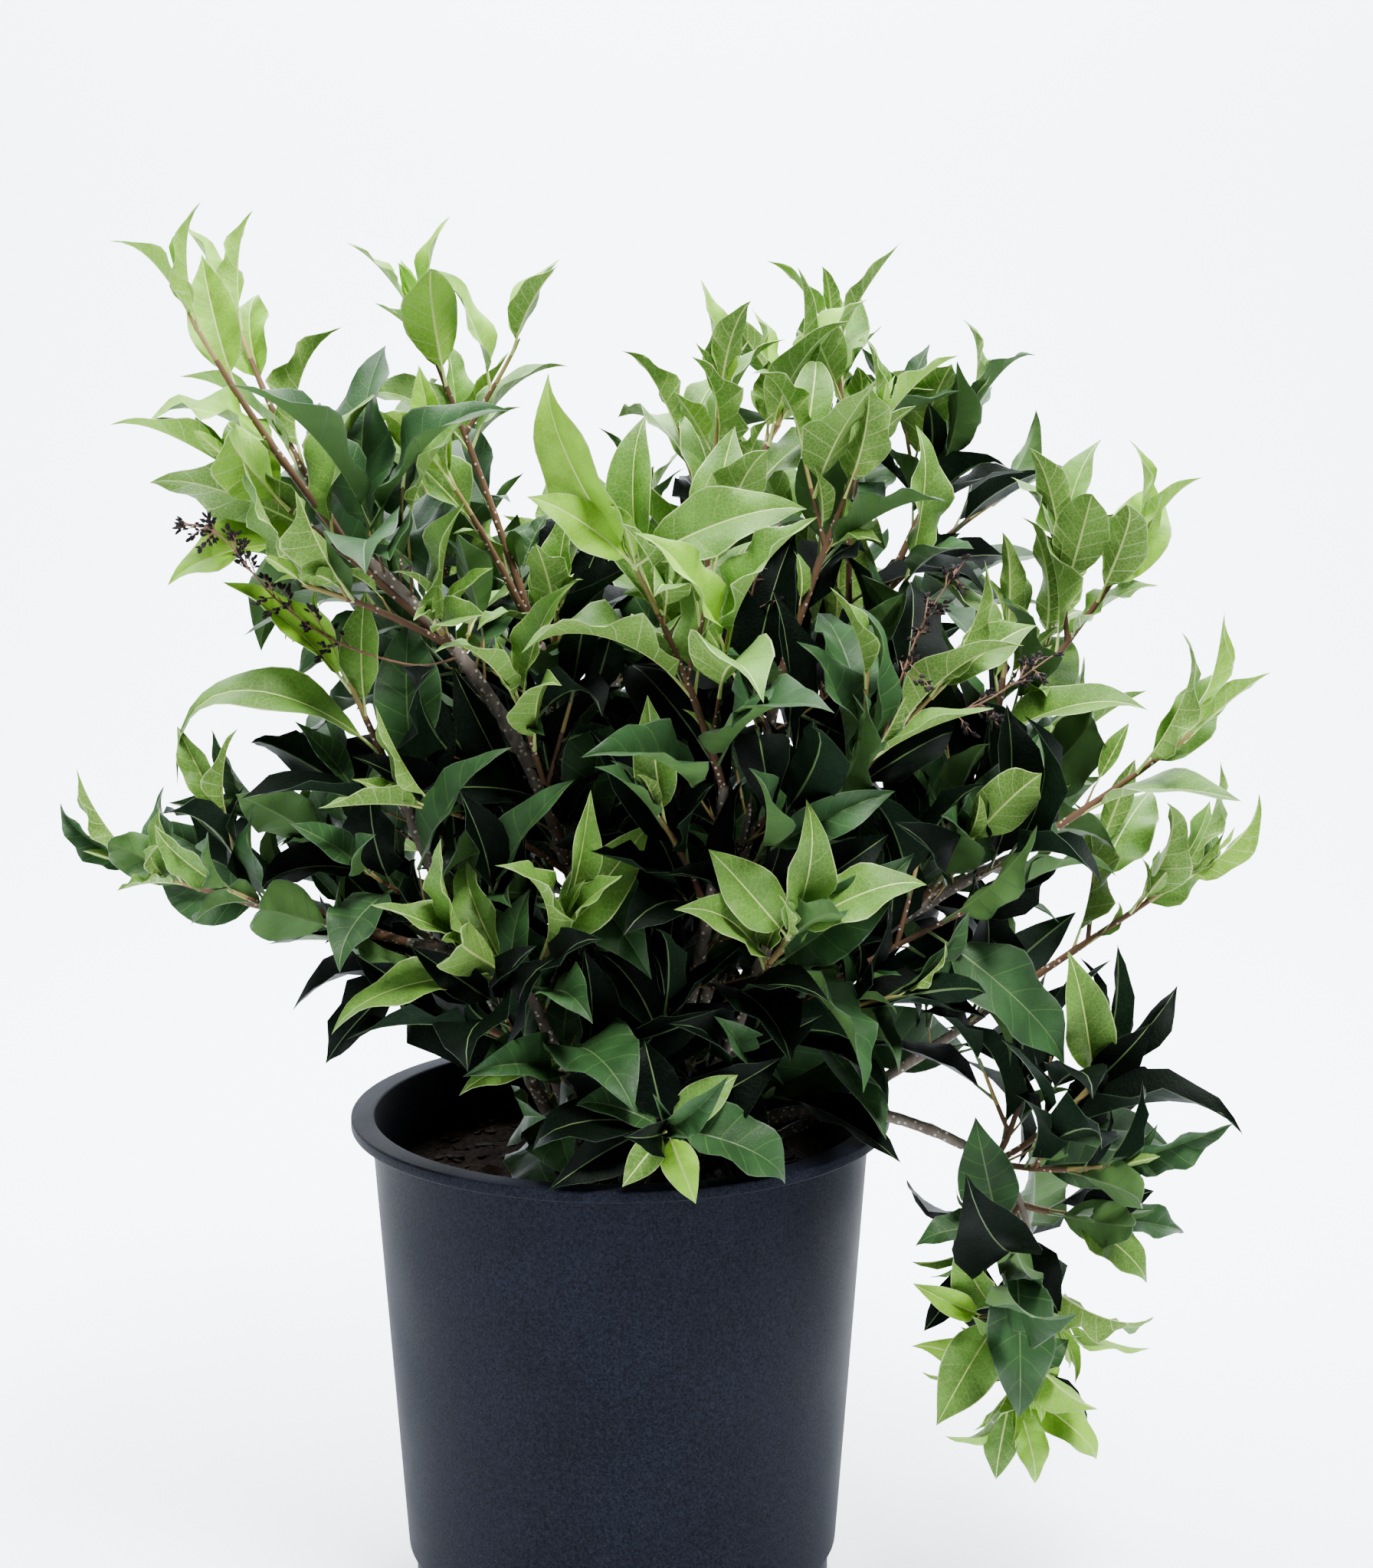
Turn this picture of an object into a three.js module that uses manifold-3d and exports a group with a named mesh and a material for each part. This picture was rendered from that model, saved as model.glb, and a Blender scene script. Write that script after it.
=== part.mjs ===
// A small-leaved lilac shrub in a black nursery pot: several slim stems rise from one root
// through the potting mix, lean out on all sides, and end in leafy shoots.
// Millimetres, +Z up. The origin is the middle of the pot's flat underside, and the side that
// the shrub shows best faces -Y.

import * as THREE from "three";
import Module from "manifold-3d";

const wasm = await Module();
wasm.setup();

// Driving dimensions of the pot and its filling
const POT = {
  height: 260,
  rimRadius: 139,
  lipWidth: 10,
  lipHeight: 6,
  heelRadius: 113,
  heelHeight: 27,
  footRadius: 109,
  wall: 2,
  floor: 3,
  sides: 36,
};
const SOIL = { top: 227, fall: 4, crownRadius: 60 };

// Space kept between two solids that rest on or grow from one another
const CLEAR = 0.33;
// Space kept between leaves of different masses, and between a leaf and the pot
const LEAF_CLEAR = 0.5;
const POT_CLEAR = 1.5;

// Stems: how round they are, how far apart their rings stand, how they swell at the soil, and
// their tip's radius as a share of their foot's
const STEM = { sides: 6, step: 32, flare: 0.4, flareLength: 14, taper: 0.66 };

// Twigs are four-sided, as a lilac's young wood is, with a leaf on each of two opposite faces.
// A shoot thins from heel to tip and ends in a bud.
const TWIG = { sides: 4, heelRadius: 2.7, tipRadius: 1.8, budRadius: 0.8, sink: 1.5 };

// Leaf pairs along a shoot, from its tip down: how far each is below the one above it as a share
// of the usual distance, how wide its two leaves stand from the shoot in degrees, how strongly
// they rise, and their length and width against the usual ones. Old leaves hang more than young.
const PAIRS = [
  { down: 0.2, spread: 26, rise: 0.3, size: 0.85, width: 0.8 },
  { down: 0.75, spread: 40, rise: 0.3, size: 1, width: 0.9 },
  { down: 0.9, spread: 50, rise: 0.25, size: 1, width: 1 },
  { down: 0.95, spread: 56, rise: 0.15, size: 1, width: 1 },
  { down: 0.95, spread: 60, rise: 0.05, size: 1, width: 1 },
  { down: 0.95, spread: 62, rise: -0.1, size: 0.95, width: 1 },
];
const SIDE_END = { spread: 32, rise: 0.2, size: 0.8, width: 0.85 };
const SIDE_MIDDLE = { spread: 54, rise: 0.05, size: 0.95, width: 1 };

// A shoot: its bare length above the heel, how much further each next shoot of a mass turns its
// leaf pairs, and where and how far it bends towards its stem's way, as shares of its length
const SHOOT = { bareHeel: 9, turn: 35, bendAt: 0.42, bow: 0.12 };

// Side twigs leave a shoot just above its leaf pairs. Each is straight for `straight` of its
// length, then turns up, with a leaf pair on either part.
const SIDE = { spread: 46, rise: 0.25, size: 1, width: 1 };
const SIDE_TWIG = { radius: 1.3, above: 0.2, shortest: 36, longest: 76, share: 0.6, straight: 0.6,
  upturn: 0.25, middlePair: 0.7, endPair: 0.55 };

// A leaf: its width, the place of its widest part, the lift of its edges, how far its tip bends
// back and the depth of its keel, all as shares of its length. Leaves are a little larger than
// life, because they are fewer.
const LEAF = { enlarge: 1.24, width: 0.54, widest: 0.42, lift: 0.05, recurve: 0.12, keel: 0.035 };
// How much leaves differ: in length as shares, and in lean and turn in degrees
const VARIED = { shortest: 0.86, longest: 1.12, lean: 7, turn: 8 };
// A leaf's root: the length of it in its twig, at most this share of the way to the twig's middle,
// and the narrowest angle between leaf and twig in degrees
const ROOT = { sunk: 1.9, share: 0.8, narrowest: 24 };

// A leaf's upper face turns between its shoot's tip, the sky and the outside of the crown.
const FACING = { tip: 0.75, sky: 0.35, outside: 0.4 };
const CROWN = [25, 0, 400];

// Stems from the soil: foot on the soil, the point that the stem bends towards, tip, and the
// radius at the foot. The hanging bough goes on where the bough over the rim ends.
const STEMS = [
  { name: "stem_left", foot: [-10, 1], bend: [2, -34, 450], tip: [-130, -60, 557], radius: 4.4 },
  { name: "stem_left_low", foot: [-22, -7], bend: [-68, -50, 338], tip: [-110, -68, 450], radius: 4 },
  { name: "stem_low_left", foot: [-15, -20], bend: [-46, -46, 356], tip: [-102, -66, 362], radius: 3.9 },
  { name: "stem_front_left", foot: [-5, -31], bend: [-22, -62, 286], tip: [-42, -84, 343], radius: 3.9 },
  { name: "stem_front_low", foot: [8, -42], bend: [12, -60, 276], tip: [18, -88, 276], radius: 3.6 },
  { name: "bough_over_rim", foot: [26, -25], bend: [88, -30, 294], tip: [172, -50, 255], radius: 4.1 },
  { name: "bough_hanging", from: [173, -50.2, 254.4], bend: [200, -55, 246], tip: [206, -57, 206],
    radius: 2.7 },
  { name: "stem_right_low", foot: [33, -8], bend: [92, -4, 240], tip: [199, -6, 321], radius: 3.6 },
  { name: "stem_right_mid", foot: [26, 3], bend: [84, -8, 336], tip: [195, -27, 396], radius: 4 },
  { name: "stem_right_high", foot: [19, 14], bend: [104, 20, 330], tip: [190, 15, 447], radius: 4.2 },
  { name: "stem_centre_right", foot: [13, -9], bend: [62, -24, 370], tip: [79, -30, 486], radius: 4.2 },
  { name: "stem_centre", foot: [5, 7], bend: [24, 2, 420], tip: [42, -8, 528], radius: 4.6 },
  { name: "stem_centre_front", foot: [4, -16], bend: [44, -62, 330], tip: [52, -74, 440], radius: 4 },
  { name: "stem_centre_left", foot: [-7, 16], bend: [-22, 4, 400], tip: [-39, -16, 502], radius: 4.4 },
  { name: "stem_front_right", foot: [17, -33], bend: [62, -78, 318], tip: [87, -72, 406], radius: 4 },
  { name: "stem_back_left", foot: [-19, 27], bend: [-70, 62, 380], tip: [-96, 84, 508], radius: 4.2 },
  { name: "stem_back", foot: [0, 27], bend: [-8, 88, 380], tip: [-6, 108, 480], radius: 4.2 },
  { name: "stem_back_right", foot: [14, 28], bend: [84, 66, 380], tip: [138, 68, 520], radius: 4.4 },
];

// Masses of leaves: the stem that each grows on, how far along it, the usual length of a leaf,
// the usual distance between its leaf pairs, the number of side twigs on each shoot, the turn of
// the top pair, how much more its leaves rise and open than usual, and the tips of its shoots
const USUAL = { at: 1, leaf: 64, gap: 38, sides: 2, turn: 60, rise: 0, open: 0 };
const MASSES = [
  { name: "left_top", on: "stem_left", gap: 46, sides: 0, turn: 70, rise: 0.2,
    tips: [[-196, -84, 664], [-185, -24, 664]] },
  { name: "left_inner", on: "stem_left", at: 0.78, leaf: 66, gap: 30, turn: 80, open: 8,
    tips: [[-174, -78, 590], [-144, -100, 540], [-84, -88, 520]] },
  { name: "left_mid", on: "stem_left_low", leaf: 90, gap: 26, turn: 75, rise: 0.35, open: 22,
    tips: [[-126, -80, 492]] },
  { name: "left_spur", on: "stem_left_low", at: 0.62, leaf: 58, gap: 32, turn: 80, rise: -0.1,
    tips: [[-165, -66, 422]] },
  { name: "low_left", on: "stem_low_left", leaf: 56, rise: 0.35, tips: [[-232, -84, 404], [-190, -46, 394]] },
  { name: "low_left_back", on: "stem_low_left", at: 0.8, turn: 30, tips: [[-142, -6, 384]] },
  { name: "upper_left", on: "stem_centre_left", turn: 80, open: 8,
    tips: [[-95, -30, 662], [-80, -58, 588]] },
  { name: "centre_left", on: "stem_centre_left", at: 0.82, gap: 30, turn: 70, tips: [[-28, -56, 524]] },
  { name: "centre_left_low", on: "stem_left", at: 0.4, sides: 1, tips: [[-46, -84, 486], [-92, -96, 436]] },
  { name: "front_centre", on: "stem_centre_front", leaf: 80, turn: 85, tips: [[10, -98, 548]] },
  { name: "centre_low", on: "stem_centre_front", at: 0.7, turn: 70, tips: [[20, -100, 432]] },
  { name: "front_left", on: "stem_front_left", leaf: 68, gap: 28, sides: 0,
    tips: [[-68, -104, 368], [-22, -106, 382]] },
  { name: "front_left_low", on: "stem_front_left", at: 0.6, leaf: 70, gap: 26, turn: 15, rise: 0.1,
    tips: [[-84, -84, 332], [6, -80, 318]] },
  { name: "front_low", on: "stem_front_low", leaf: 60, gap: 20, sides: 0, turn: 20, rise: -0.1,
    tips: [[25, -131, 287], [24, -94, 338]] },
  { name: "front_right_low", on: "stem_front_right", at: 0.6, leaf: 76, gap: 34, turn: 85,
    tips: [[82, -108, 374]] },
  { name: "front_right", on: "stem_front_right", leaf: 72, turn: 80,
    tips: [[125, -80, 460], [158, -50, 486]] },
  { name: "front_right_side", on: "stem_front_right", at: 0.42, turn: 40,
    tips: [[138, -84, 340], [192, -66, 388]] },
  { name: "top_centre", on: "stem_centre", turn: 75, rise: 0.2, tips: [[50, -16, 622], [90, 14, 630]] },
  { name: "right_top", on: "stem_centre_right", turn: 85, tips: [[124, -36, 608]] },
  { name: "top_back", on: "stem_back_right", at: 0.82, leaf: 66, turn: 80, open: 18,
    tips: [[110, 62, 655]] },
  { name: "right_back_top", on: "stem_back_right", leaf: 56, tips: [[183, 66, 616], [204, 104, 568]] },
  { name: "right_high", on: "stem_right_high", turn: 75, rise: 0.3, tips: [[262, 12, 549], [200, 42, 502]] },
  { name: "right_mid", on: "stem_right_mid", turn: 70, rise: 0.35, tips: [[284, -38, 462]] },
  { name: "right_mid_inner", on: "stem_right_mid", at: 0.76, leaf: 74, rise: 0.1,
    tips: [[222, 14, 436], [170, -58, 410]] },
  { name: "right_low", on: "stem_right_low", rise: 0.5, tips: [[288, -10, 384]] },
  { name: "hanging_tip", on: "bough_hanging", leaf: 56, gap: 26, turn: 80, rise: 0.15,
    tips: [[220, -58, 164], [196, -78, 138]] },
  { name: "hanging_low", on: "bough_hanging", at: 0.72, leaf: 60, gap: 26, turn: 80, rise: 0.1, open: 8,
    tips: [[176, -64, 204], [240, -54, 220]] },
  { name: "hanging_top", on: "bough_hanging", at: 0.3, leaf: 64, gap: 26, turn: 70, rise: 0.25, open: 8,
    tips: [[206, -44, 306], [244, -48, 296], [242, -88, 256]] },
  { name: "inner_left", on: "stem_centre_left", at: 0.5, leaf: 72, turn: 40, tips: [[-70, 2, 430]] },
  { name: "inner_right", on: "stem_centre_right", at: 0.66, leaf: 72, turn: 50,
    tips: [[112, 4, 446]] },
  { name: "inner_low", on: "stem_centre_right", at: 0.36, leaf: 72, gap: 30,
    tips: [[22, -26, 388], [86, -52, 344]] },
  { name: "back_left_high", on: "stem_back_left", tips: [[-84, 78, 596], [-132, 112, 560]] },
  { name: "back_left_mid", on: "stem_back_left", at: 0.72, leaf: 68, turn: 40,
    tips: [[-112, 128, 470]] },
  { name: "back_left_low", on: "stem_back_left", at: 0.42, leaf: 68, turn: 30,
    tips: [[-112, 108, 380]] },
  { name: "back_top", on: "stem_back", tips: [[6, 116, 552], [-36, 168, 530]] },
  { name: "back_mid", on: "stem_back", at: 0.75, leaf: 68, turn: 30, tips: [[30, 188, 480]] },
  { name: "back_low", on: "stem_back", at: 0.45, leaf: 70, turn: 40, tips: [[-24, 172, 372]] },
  { name: "back_right_high", on: "stem_back_right", at: 0.68, turn: 50,
    tips: [[112, 158, 548]] },
  { name: "back_right_mid", on: "stem_back_right", at: 0.5, leaf: 68, turn: 30,
    tips: [[150, 146, 438]] },
  { name: "back_right_low", on: "stem_right_high", at: 0.34, turn: 40,
    tips: [[116, 112, 352]] },
].map((mass) => ({ ...USUAL, ...mass }));

const UP = new THREE.Vector3(0, 0, 1);
const radians = THREE.MathUtils.degToRad;
const between = THREE.MathUtils.lerp;
const vector = (list) => new THREE.Vector3(...list);

// Finishes
const finish = (color, roughness) => new THREE.MeshStandardMaterial({ color, roughness, metalness: 0 });
const potFinish = () => finish(0x1b1e24, 0.5);
const soilFinish = () => finish(0x17110d, 0.95);
const barkFinish = () => finish(0x6a5e54, 0.8);
const leafFinish = () => finish(0x4d7440, 0.55);

// A run of numbers from 0 to 1 that is the same for the same seed
function numbersFrom(seed) {
  let state = seed;
  return () => {
    state = (Math.imul(state, 1664525) + 1013904223) >>> 0;
    return state / 4294967296;
  };
}

// Pot wall radii at a height
function outerRadius(z) {
  const share = (z - POT.heelHeight) / (POT.height - POT.heelHeight);
  return z < POT.heelHeight ? POT.footRadius : between(POT.heelRadius, POT.rimRadius - POT.lipWidth, share);
}
const innerRadius = (z) => outerRadius(z) - POT.wall;

// The pot is turned from one closed profile: foot, step, tapering wall, lip and inner wall.
function makePot() {
  const lip = POT.height - POT.lipHeight;
  const foot = POT.footRadius;
  const innerFoot = foot - POT.wall;
  const profile = [
    [0, 0],
    [foot, 0],
    [foot, POT.heelHeight - POT.wall],
    [POT.heelRadius, POT.heelHeight],
    [outerRadius(lip), lip],
    [POT.rimRadius, lip],
    [POT.rimRadius, POT.height],
    [innerRadius(POT.height), POT.height],
    [innerRadius(POT.heelHeight), POT.heelHeight],
    [innerFoot, POT.heelHeight - POT.wall],
    [innerFoot, POT.floor],
    [0, POT.floor],
  ];
  return turned(profile);
}

// Potting mix, level round the stems and a little lower at the wall
function makeSoil() {
  const floor = POT.floor + CLEAR;
  const foot = POT.footRadius - POT.wall - CLEAR;
  const shelf = innerRadius(POT.heelHeight) - CLEAR;
  const edge = SOIL.top - SOIL.fall;
  const profile = [
    [0, floor],
    [foot, floor],
    [foot, POT.heelHeight - POT.wall],
    [shelf, POT.heelHeight + CLEAR],
    [innerRadius(edge) - CLEAR, edge],
    [SOIL.crownRadius, SOIL.top],
    [0, SOIL.top],
  ];
  return turned(profile);
}

// A profile of radius and height, turned round Z
function turned(profile) {
  const points = profile.map(([radius, z]) => new THREE.Vector2(radius, z));
  return new THREE.LatheGeometry(points, POT.sides).rotateX(Math.PI / 2);
}

// A solid from points and faces that turn outwards
function solidFrom(points, faces) {
  const vertProperties = new Float32Array(points.flatMap((point) => point.toArray()));
  const triVerts = new Uint32Array(faces.flat());
  return new wasm.Manifold(new wasm.Mesh({ numProp: 3, vertProperties, triVerts }));
}

function geometryFrom(solid) {
  const mesh = solid.getMesh();
  const geometry = new THREE.BufferGeometry();
  geometry.setAttribute("position", new THREE.BufferAttribute(mesh.vertProperties, 3));
  geometry.setIndex(new THREE.BufferAttribute(mesh.triVerts, 1));
  return geometry;
}

// Faces of a tube of rings with a flat cap at each end
function tubeFaces(rings, sides) {
  const faces = [];
  const last = (rings - 1) * sides;
  for (let ring = 0; ring < rings - 1; ring += 1) {
    for (let side = 0; side < sides; side += 1) {
      const here = ring * sides + side;
      const beside = ring * sides + ((side + 1) % sides);
      faces.push([here, beside, beside + sides], [here, beside + sides, here + sides]);
    }
  }
  for (let side = 1; side < sides - 1; side += 1) {
    faces.push([0, side + 1, side], [last, last + side, last + side + 1]);
  }
  return faces;
}

// A direction across a path at each of its points, carried along it without twist
function carriedAcross(path, first, footLevel = false) {
  let across = first.clone();
  return path.map((centre, place) => {
    const before = path[Math.max(place - 1, 0)];
    const after = path[Math.min(place + 1, path.length - 1)];
    const along = footLevel && place === 0 ? UP.clone() : after.clone().sub(before).normalize();
    across = across.clone().addScaledVector(along, -across.dot(along)).normalize();
    return { centre, along, across, third: along.clone().cross(across) };
  });
}

// Points of a tube: one ring in each frame, with its first corner at `turn` degrees
function tubePoints(frames, radii, sides, turn = 0) {
  const points = [];
  frames.forEach(({ centre, across, third }, place) => {
    for (let side = 0; side < sides; side += 1) {
      const angle = (2 * Math.PI * side) / sides + radians(turn);
      const point = centre.clone().addScaledVector(across, radii[place] * Math.cos(angle));
      points.push(point.addScaledVector(third, radii[place] * Math.sin(angle)));
    }
  });
  return points;
}

// A stem's path is one smooth bend from its foot to its tip.
function stemCurve(stem) {
  const start = vector(stem.from ?? [...stem.foot, SOIL.top + CLEAR]);
  return new THREE.QuadraticBezierCurve3(start, vector(stem.bend), vector(stem.tip));
}

// A stem's rings, thinning from foot to tip, with a root flare where it leaves the soil
function stemRings(stem, spare) {
  const curve = stemCurve(stem);
  const steps = Math.ceil(curve.getLength() / STEM.step);
  const path = curve.getPoints(steps);
  if (stem.foot) {
    path.splice(1, 0, curve.getPointAt(STEM.flareLength / curve.getLength()));
  }
  const radii = path.map((point, place) => {
    const thin = stem.radius * between(1, STEM.taper, place / (path.length - 1));
    return thin * (stem.foot && place === 0 ? 1 + STEM.flare : 1) + spare;
  });
  if (spare) {
    const last = path.length - 1;
    path[last] = path[last].clone().addScaledVector(curve.getTangent(1), spare);
  }
  const frames = carriedAcross(path, new THREE.Vector3(1, 0, 0), Boolean(stem.foot));
  return { points: tubePoints(frames, radii, STEM.sides), rings: path.length };
}

function stemSolid(stem, spare = 0) {
  const { points, rings } = stemRings(stem, spare);
  return solidFrom(points, tubeFaces(rings, STEM.sides));
}

// A convex form kept for the test of what would touch what
function formOf(points, faces) {
  const centre = new THREE.Vector3();
  points.forEach((point) => centre.addScaledVector(point, 1 / points.length));
  const reach = Math.max(...points.map((point) => point.distanceTo(centre)));
  const normals = [];
  const edges = [];
  for (const [a, b, c] of faces) {
    const ab = points[b].clone().sub(points[a]);
    const ac = points[c].clone().sub(points[a]);
    normals.push(ab.clone().cross(ac));
    edges.push(ab);
  }
  return { points, centre, reach, normals, edges };
}

// One form for each stretch between two rings of a tube
function tubeForms(points, rings, sides) {
  const faces = tubeFaces(2, sides);
  const forms = [];
  for (let ring = 0; ring < rings - 1; ring += 1) {
    forms.push(formOf(points.slice(ring * sides, (ring + 2) * sides), faces));
  }
  return forms;
}

function parted(one, other, axis, gap) {
  const size = axis.length();
  if (size < 1e-6) {
    return false;
  }
  const along = (point) => point.dot(axis) / size;
  const a = one.points.map(along);
  const b = other.points.map(along);
  return Math.min(...b) - Math.max(...a) > gap || Math.min(...a) - Math.max(...b) > gap;
}

// Two convex forms are apart where some direction parts them: a line between their middles, a
// face's normal, or a normal to an edge of each.
function apart(one, other, gap) {
  const middles = other.centre.clone().sub(one.centre);
  if (middles.length() > one.reach + other.reach + gap) {
    return true;
  }
  if ([middles, ...one.normals, ...other.normals].some((axis) => parted(one, other, axis, gap))) {
    return true;
  }
  return one.edges.some((edge) =>
    other.edges.some((second) => parted(one, other, edge.clone().cross(second), gap)),
  );
}

// Whether a form keeps off the pot's wall and lip and off the potting mix
function clearOfPot(form) {
  const lip = POT.height - POT.lipHeight - POT_CLEAR;
  const soil = SOIL.top + POT_CLEAR;
  const touches = (point) => {
    if (point.z > POT.height + POT_CLEAR) {
      return false;
    }
    const radius = Math.hypot(point.x, point.y);
    const outside = (point.z > lip ? POT.rimRadius : outerRadius(point.z)) + POT_CLEAR;
    const inside = point.z > soil && radius < innerRadius(point.z) - POT_CLEAR;
    return radius < outside && !inside;
  };
  return !form.points.some((point) =>
    form.points.some((second) =>
      [0, 0.2, 0.4].some((share) => touches(point.clone().lerp(second, share))),
    ),
  );
}

// A leaf: a thin blade of six faces with a keel below, raised at its two edges, with a tip that
// bends back
const LEAF_FACES = [[0, 1, 3], [1, 4, 3], [0, 2, 1], [0, 3, 2], [2, 4, 1], [3, 4, 2]];

function leafPoints({ root, along, up, length, width }) {
  const left = up.clone().cross(along);
  const at = (forward, sideways, raised) =>
    root.clone().addScaledVector(along, forward).addScaledVector(left, sideways).addScaledVector(up, raised);
  const half = (length * width) / 2;
  const widest = length * LEAF.widest;
  return [
    root,
    at(widest, -half, length * LEAF.lift),
    at(widest, 0, -length * LEAF.keel),
    at(widest, half, length * LEAF.lift),
    at(length, 0, -length * LEAF.recurve),
  ];
}

// Two opposite leaves at a point of a twig, on the faces that stand at `turn` degrees
function leafPair(spot, turn, pair, mass, next) {
  return [0, 180].map((opposite) => {
    const length = mass.leaf * pair.size * LEAF.enlarge * between(VARIED.shortest, VARIED.longest, next());
    const varied = between(-VARIED.lean, VARIED.lean, next());
    const lean = Math.max(ROOT.narrowest, pair.spread + mass.open + varied);
    const roll = turn + opposite + between(-VARIED.turn, VARIED.turn, next());
    return { ...spot, length, width: LEAF.width * pair.width, lean, roll, rise: pair.rise + mass.rise };
  });
}

// The leaf at one place of a pair, rolled round its twig and opened by a few degrees more
function leafAt({ root, frame, radius, length, width, lean, roll, rise }, [more, wider]) {
  const { along: axis, across, third } = frame;
  const angle = radians(roll + more);
  const out = across.clone().multiplyScalar(Math.cos(angle)).addScaledVector(third, Math.sin(angle));
  const open = radians(lean + wider);
  const along = axis.clone().multiplyScalar(Math.cos(open)).addScaledVector(out, Math.sin(open));
  along.z += rise;
  along.normalize();
  const outside = root.clone().sub(vector(CROWN)).normalize();
  const up = axis.clone().multiplyScalar(FACING.tip);
  up.addScaledVector(UP, FACING.sky).addScaledVector(outside, FACING.outside);
  up.addScaledVector(along, -up.dot(along)).normalize();
  const depth = Math.min(ROOT.share * radius, ROOT.sunk * Math.sin(open));
  const base = root.clone().addScaledVector(out, radius - depth);
  return { root: base, along, up, length, width };
}
// Turns and openings in degrees that a leaf tries, one after the other, to keep clear
const TURNS = [[0, 0], [9, 0], [-9, 0], [0, 12], [0, -10], [12, 14], [-12, 14], [22, 0], [-22, 0], [0, 24]];

// A four-sided twig with a frame at each ring, and the places on it that leaves grow from
function twigFrom(path, radii, turn) {
  const level = path[1].clone().sub(path[0]).cross(UP);
  const first = level.length() > 1 ? level.normalize() : new THREE.Vector3(1, 0, 0);
  const frames = carriedAcross(path, first);
  const points = tubePoints(frames, radii, TWIG.sides, turn + 45);
  const at = (ring, share) => {
    const along = path[ring + 1].clone().sub(path[ring]).normalize();
    const across = frames[ring].across.clone();
    across.addScaledVector(along, -across.dot(along)).normalize();
    return {
      root: path[ring].clone().lerp(path[ring + 1], share),
      frame: { along, across, third: along.clone().cross(across) },
      radius: between(radii[ring], radii[ring + 1], share) * Math.SQRT1_2,
    };
  };
  return {
    at,
    turn,
    solid: solidFrom(points, tubeFaces(path.length, TWIG.sides)),
    forms: tubeForms(points, path.length, TWIG.sides),
  };
}

// A shoot from its heel on a stem to its tip. Its rings stand half way between every second and
// third leaf pair, so that each leaf grows from a flat face of its own.
function makeShoot(mass, tip, order) {
  const stem = STEMS.find(({ name }) => name === mass.on);
  const curve = stemCurve(stem);
  const tangent = curve.getTangent(mass.at);
  const heel = curve.getPoint(mass.at).addScaledVector(tangent, mass.at === 1 ? -TWIG.sink : 0);
  const end = vector(tip);
  const reach = heel.distanceTo(end);
  const bend = heel.clone().lerp(end, SHOOT.bendAt).addScaledVector(tangent, reach * SHOOT.bow);
  const line = new THREE.QuadraticBezierCurve3(heel, bend, end);
  const pairs = [];
  let down = 0;
  for (const pair of PAIRS) {
    down += pair.down * mass.gap;
    if (down > reach - SHOOT.bareHeel) {
      break;
    }
    pairs.push({ ...pair, down });
  }
  const breaks = [0];
  for (let place = 2; place < pairs.length; place += 2) {
    breaks.push((pairs[place].down + pairs[place - 1].down) / 2);
  }
  breaks.push(reach);
  const path = breaks.map((place) => line.getPoint(1 - place / reach)).reverse();
  const count = path.length - 1;
  const radii = path.map((point, step) => between(TWIG.heelRadius, TWIG.tipRadius, step / count));
  radii[count] = TWIG.budRadius;
  const turn = mass.turn + SHOOT.turn * order;
  const twig = twigFrom(path, radii, turn);
  const last = breaks.length - 2;
  const nodes = pairs.map((pair, place) => {
    const stretch = Math.floor(place / 2);
    const share = (breaks[stretch + 1] - pair.down) / (breaks[stretch + 1] - breaks[stretch]);
    return { ...pair, ring: last - stretch, share, turn: turn + 90 * place };
  });
  return { twig, nodes, reach };
}

// A side twig in the corner above a leaf, with two pairs of leaves of its own
function makeSideTwig(shoot, node, mass, opposite, next) {
  const base = shoot.twig.at(node.ring, node.share);
  base.root.addScaledVector(base.frame.along, mass.gap * SIDE_TWIG.above);
  const room = SIDE_TWIG.share * (node.down + mass.leaf * 0.3);
  const length = Math.min(SIDE_TWIG.longest, Math.max(SIDE_TWIG.shortest, room));
  const [place] = leafPair(base, node.turn + opposite, SIDE, mass, next);
  const { along } = leafAt(place, [0, 0]);
  const raised = along.clone().addScaledVector(UP, SIDE_TWIG.upturn).normalize();
  const middle = base.root.clone().addScaledVector(along, length * SIDE_TWIG.straight);
  const end = middle.clone().addScaledVector(raised, length * (1 - SIDE_TWIG.straight));
  const twig = twigFrom([base.root, middle, end], [SIDE_TWIG.radius, SIDE_TWIG.radius, TWIG.budRadius], 0);
  const leaves = [
    ...leafPair(twig.at(1, SIDE_TWIG.endPair), 0, SIDE_END, mass, next),
    ...leafPair(twig.at(0, SIDE_TWIG.middlePair), 90, SIDE_MIDDLE, mass, next),
  ];
  return { twig, leaves };
}

// Every leaf and twig that stands so far, with the family that it may touch
const standing = [];

function stand(family, forms) {
  forms.forEach((form) => standing.push({ family, form }));
}

function hasRoom(form, families) {
  return (
    clearOfPot(form) &&
    standing.every(({ family, form: other }) => families.includes(family) || apart(form, other, LEAF_CLEAR))
  );
}

// Leaves on a twig. One that would touch a stem, the pot or another leaf is turned a little, and
// left out where that doesn't clear it.
function addLeaves(pieces, places, twigFamily, pairFamily) {
  for (const place of places) {
    for (const turn of TURNS) {
      const points = leafPoints(leafAt(place, turn));
      const form = formOf(points, LEAF_FACES);
      if (hasRoom(form, [twigFamily, pairFamily])) {
        stand(pairFamily, [form]);
        pieces.push(solidFrom(points, LEAF_FACES));
        break;
      }
    }
  }
}

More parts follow.
